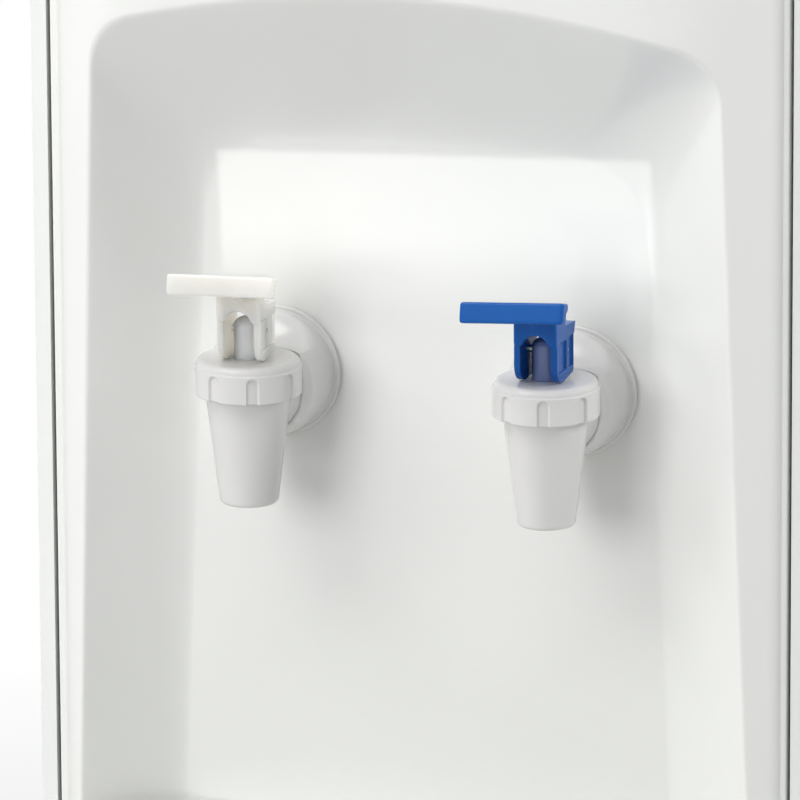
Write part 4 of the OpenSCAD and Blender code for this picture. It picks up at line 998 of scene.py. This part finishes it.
def settle_lever(side, turn, slope, dip, stretch, shift):
    """Returns a change that rounds the bar, lowers the block and sets the lever askew.

    `turn` and `slope` are degrees, seen from above and from the front. At the bar the lever
    has come down by `dip` millimetres. The bar gets wider by the share `stretch` and moves
    to the right by `shift` millimetres.
    """
    cosine, sine = math.cos(math.radians(turn)), math.sin(math.radians(turn))
    steepness = math.tan(math.radians(slope))

    def in_bar(vert):
        offset = tap_offset(side, vert.co)
        return offset.z > bar_from and offset.y < bar_y

    def change(mesh):
        bar = [vert for vert in mesh.verts if in_bar(vert)]
        for _ in range(bar_rounds):
            bmesh.ops.smooth_vert(
                mesh, verts=bar, factor=0.5, use_axis_x=True, use_axis_y=True, use_axis_z=True,
            )
        for vert in mesh.verts:
            x, y, z = tap_offset(side, vert.co)
            share = clamped((z - bar_from) / bar_blend) * clamped((bar_end_y - y) / bar_end_blend)
            x = x * (1 + stretch * share) + shift * share
            z += (z - bar_middle) * bar_swell * share
            if z > block_level:
                behind = clamped((y - web_y) / block_blend)
                z = block_level + (z - block_level) * (1 - block_drop * behind)
            lift = clamped((z - bend_level) / bend_blend)
            z -= lift * steepness * x + dip * lift * max(0, lever_back - y) / lever_reach
            x, y = x * cosine - y * sine, x * sine + y * cosine
            vert.co = tap_place(side, x, y, z)
    return change


# %% Levers and stems
stances = {
    "left": {"turn": 0.5, "slope": 0.5, "dip": -0.6, "stretch": 0.055, "shift": 0.25},
    "right": {"turn": -3.2, "slope": -1.85, "dip": 2.1, "stretch": 0.03, "shift": -1.3},
}
for side, colour in (("left", "ivory"), ("right", "blue")):
    softened(
        f"lever_{side}", f"tap_lever_{side}", f"lever_{colour}", f"lever_{side}",
        voxel=0.2, rounds=9, keep=0.3, add=plug_pin_holes(side), change=settle_lever(side, **stances[side]),
    )
    # the stems wear finishes with painted light and shade in their colours
    softened(
        f"valve_stem_{side}", f"tap_stem_{side}", f"stem_{colour}", f"stem_{side}",
        voxel=0.3, rounds=3, keep=0.4,
    )

# %% [markdown]
# ## The screw caps
# The screw cap is a turned form with notches, so it is drawn ring by ring. Eight shallow
# grooves with round tops are pressed into its skirt: the radius of each point shrinks where
# it lies inside a notch. More points stand near the notches than between them.

# %% Cap columns
notch_count, notch_half, notch_soft, notch_depth, notch_top = 8, 2.2, 0.6, 1.0, -3.9
fine_steps, fine_pitch, coarse_steps, no_notch = 13, 0.25, 8, 9.0


def cap_columns(turn):
    """Angles round the cap, close together across each notch, with the distance across it."""
    columns = []
    gap = math.tau / notch_count - 2 * fine_steps * fine_pitch / cap_radius
    for notch in range(notch_count):
        middle = math.radians(-90 + turn) + math.tau * notch / notch_count
        for step in range(-fine_steps, fine_steps + 1):
            columns.append((middle + step * fine_pitch / cap_radius, step * fine_pitch))
        for step in range(1, coarse_steps):
            angle = middle + fine_steps * fine_pitch / cap_radius + gap * step / coarse_steps
            columns.append((angle, no_notch))
    return columns


def notch_cut(across, height):
    """Depth of the notch at a distance across it and a height counted from the top of the cap."""
    round_top = notch_top - notch_half
    away = abs(across) if height < round_top else math.hypot(across, height - round_top)
    return eased(clamped((notch_half + notch_soft / 2 - away) / notch_soft), notch_depth)


print("columns round a cap:", len(cap_columns(0)))

# %% [markdown]
# The cap's profile is a list of radius and height in millimetres, from the hole for the stem
# over the rounded shoulder and a small step down the skirt, and back up inside. Only the
# skirt has notches.

# %% Cap profile
shoulder_x, shoulder_z, shoulder_radius = 17.1, -2.32, 2.3
shoulder_turns = [math.radians(degrees) for degrees in range(8, 91, 9)]
top_face = [
    (5.6, -2.9), (5.5, -2.6), (5.5, -0.3), (5.7, -0.05), (6.0, 0), (9, 0), (13, 0), (16.4, 0), (17.0, -0.02),
]
shoulder = [
    (shoulder_x + shoulder_radius * math.sin(a), shoulder_z + shoulder_radius * math.cos(a))
    for a in shoulder_turns
]
small_step = [(19.42, -2.62), (19.48, -2.78), (19.66, -2.86), (19.88, -2.96), (19.98, -3.14), (20, -3.4)]
skirt = [(20, -3.4 - 0.3 * i) for i in range(1, 14)] + [(20, -7.3 - 0.8 * i) for i in range(1, 8)]
skirt += [(20, -13.1), (19.93, -13.4), (19.75, -13.6), (19.4, -13.7)]
inside = [(18, -13.7), (17.0, -13.7), (16.7, -13.5), (16.6, -13.2), (16.6, -3.4), (16.2, -3.0), (5.9, -3.0)]
cap_profile = [(radius, height, False) for radius, height in top_face + shoulder + small_step]
cap_profile += [(radius, height, True) for radius, height in skirt]
cap_profile += [(radius, height, False) for radius, height in inside]
print("points in the cap's profile:", len(cap_profile))

# %% Screw caps
for side, turn in (("left", 22.5), ("right", 13)):
    cap = bmesh.new()
    columns = cap_columns(turn)
    rows = []
    for radius, height, notched in cap_profile:
        row = []
        for angle, across in columns:
            r = radius - (notch_cut(across, height) if notched else 0)
            row.append(cap.verts.new(tap_place(side, r * math.cos(angle), r * math.sin(angle), height)))
        rows.append(row)
    for upper, lower in zip(rows, rows[1:] + rows[:1]):
        for i in range(len(columns)):
            j = (i + 1) % len(columns)
            cap.faces.new((upper[i], lower[i], lower[j], upper[j]))
    new_piece(f"screw_cap_{side}", cap, "tap_white", "cabinet", f"tap_cap_{side}", smooth_angle=55)
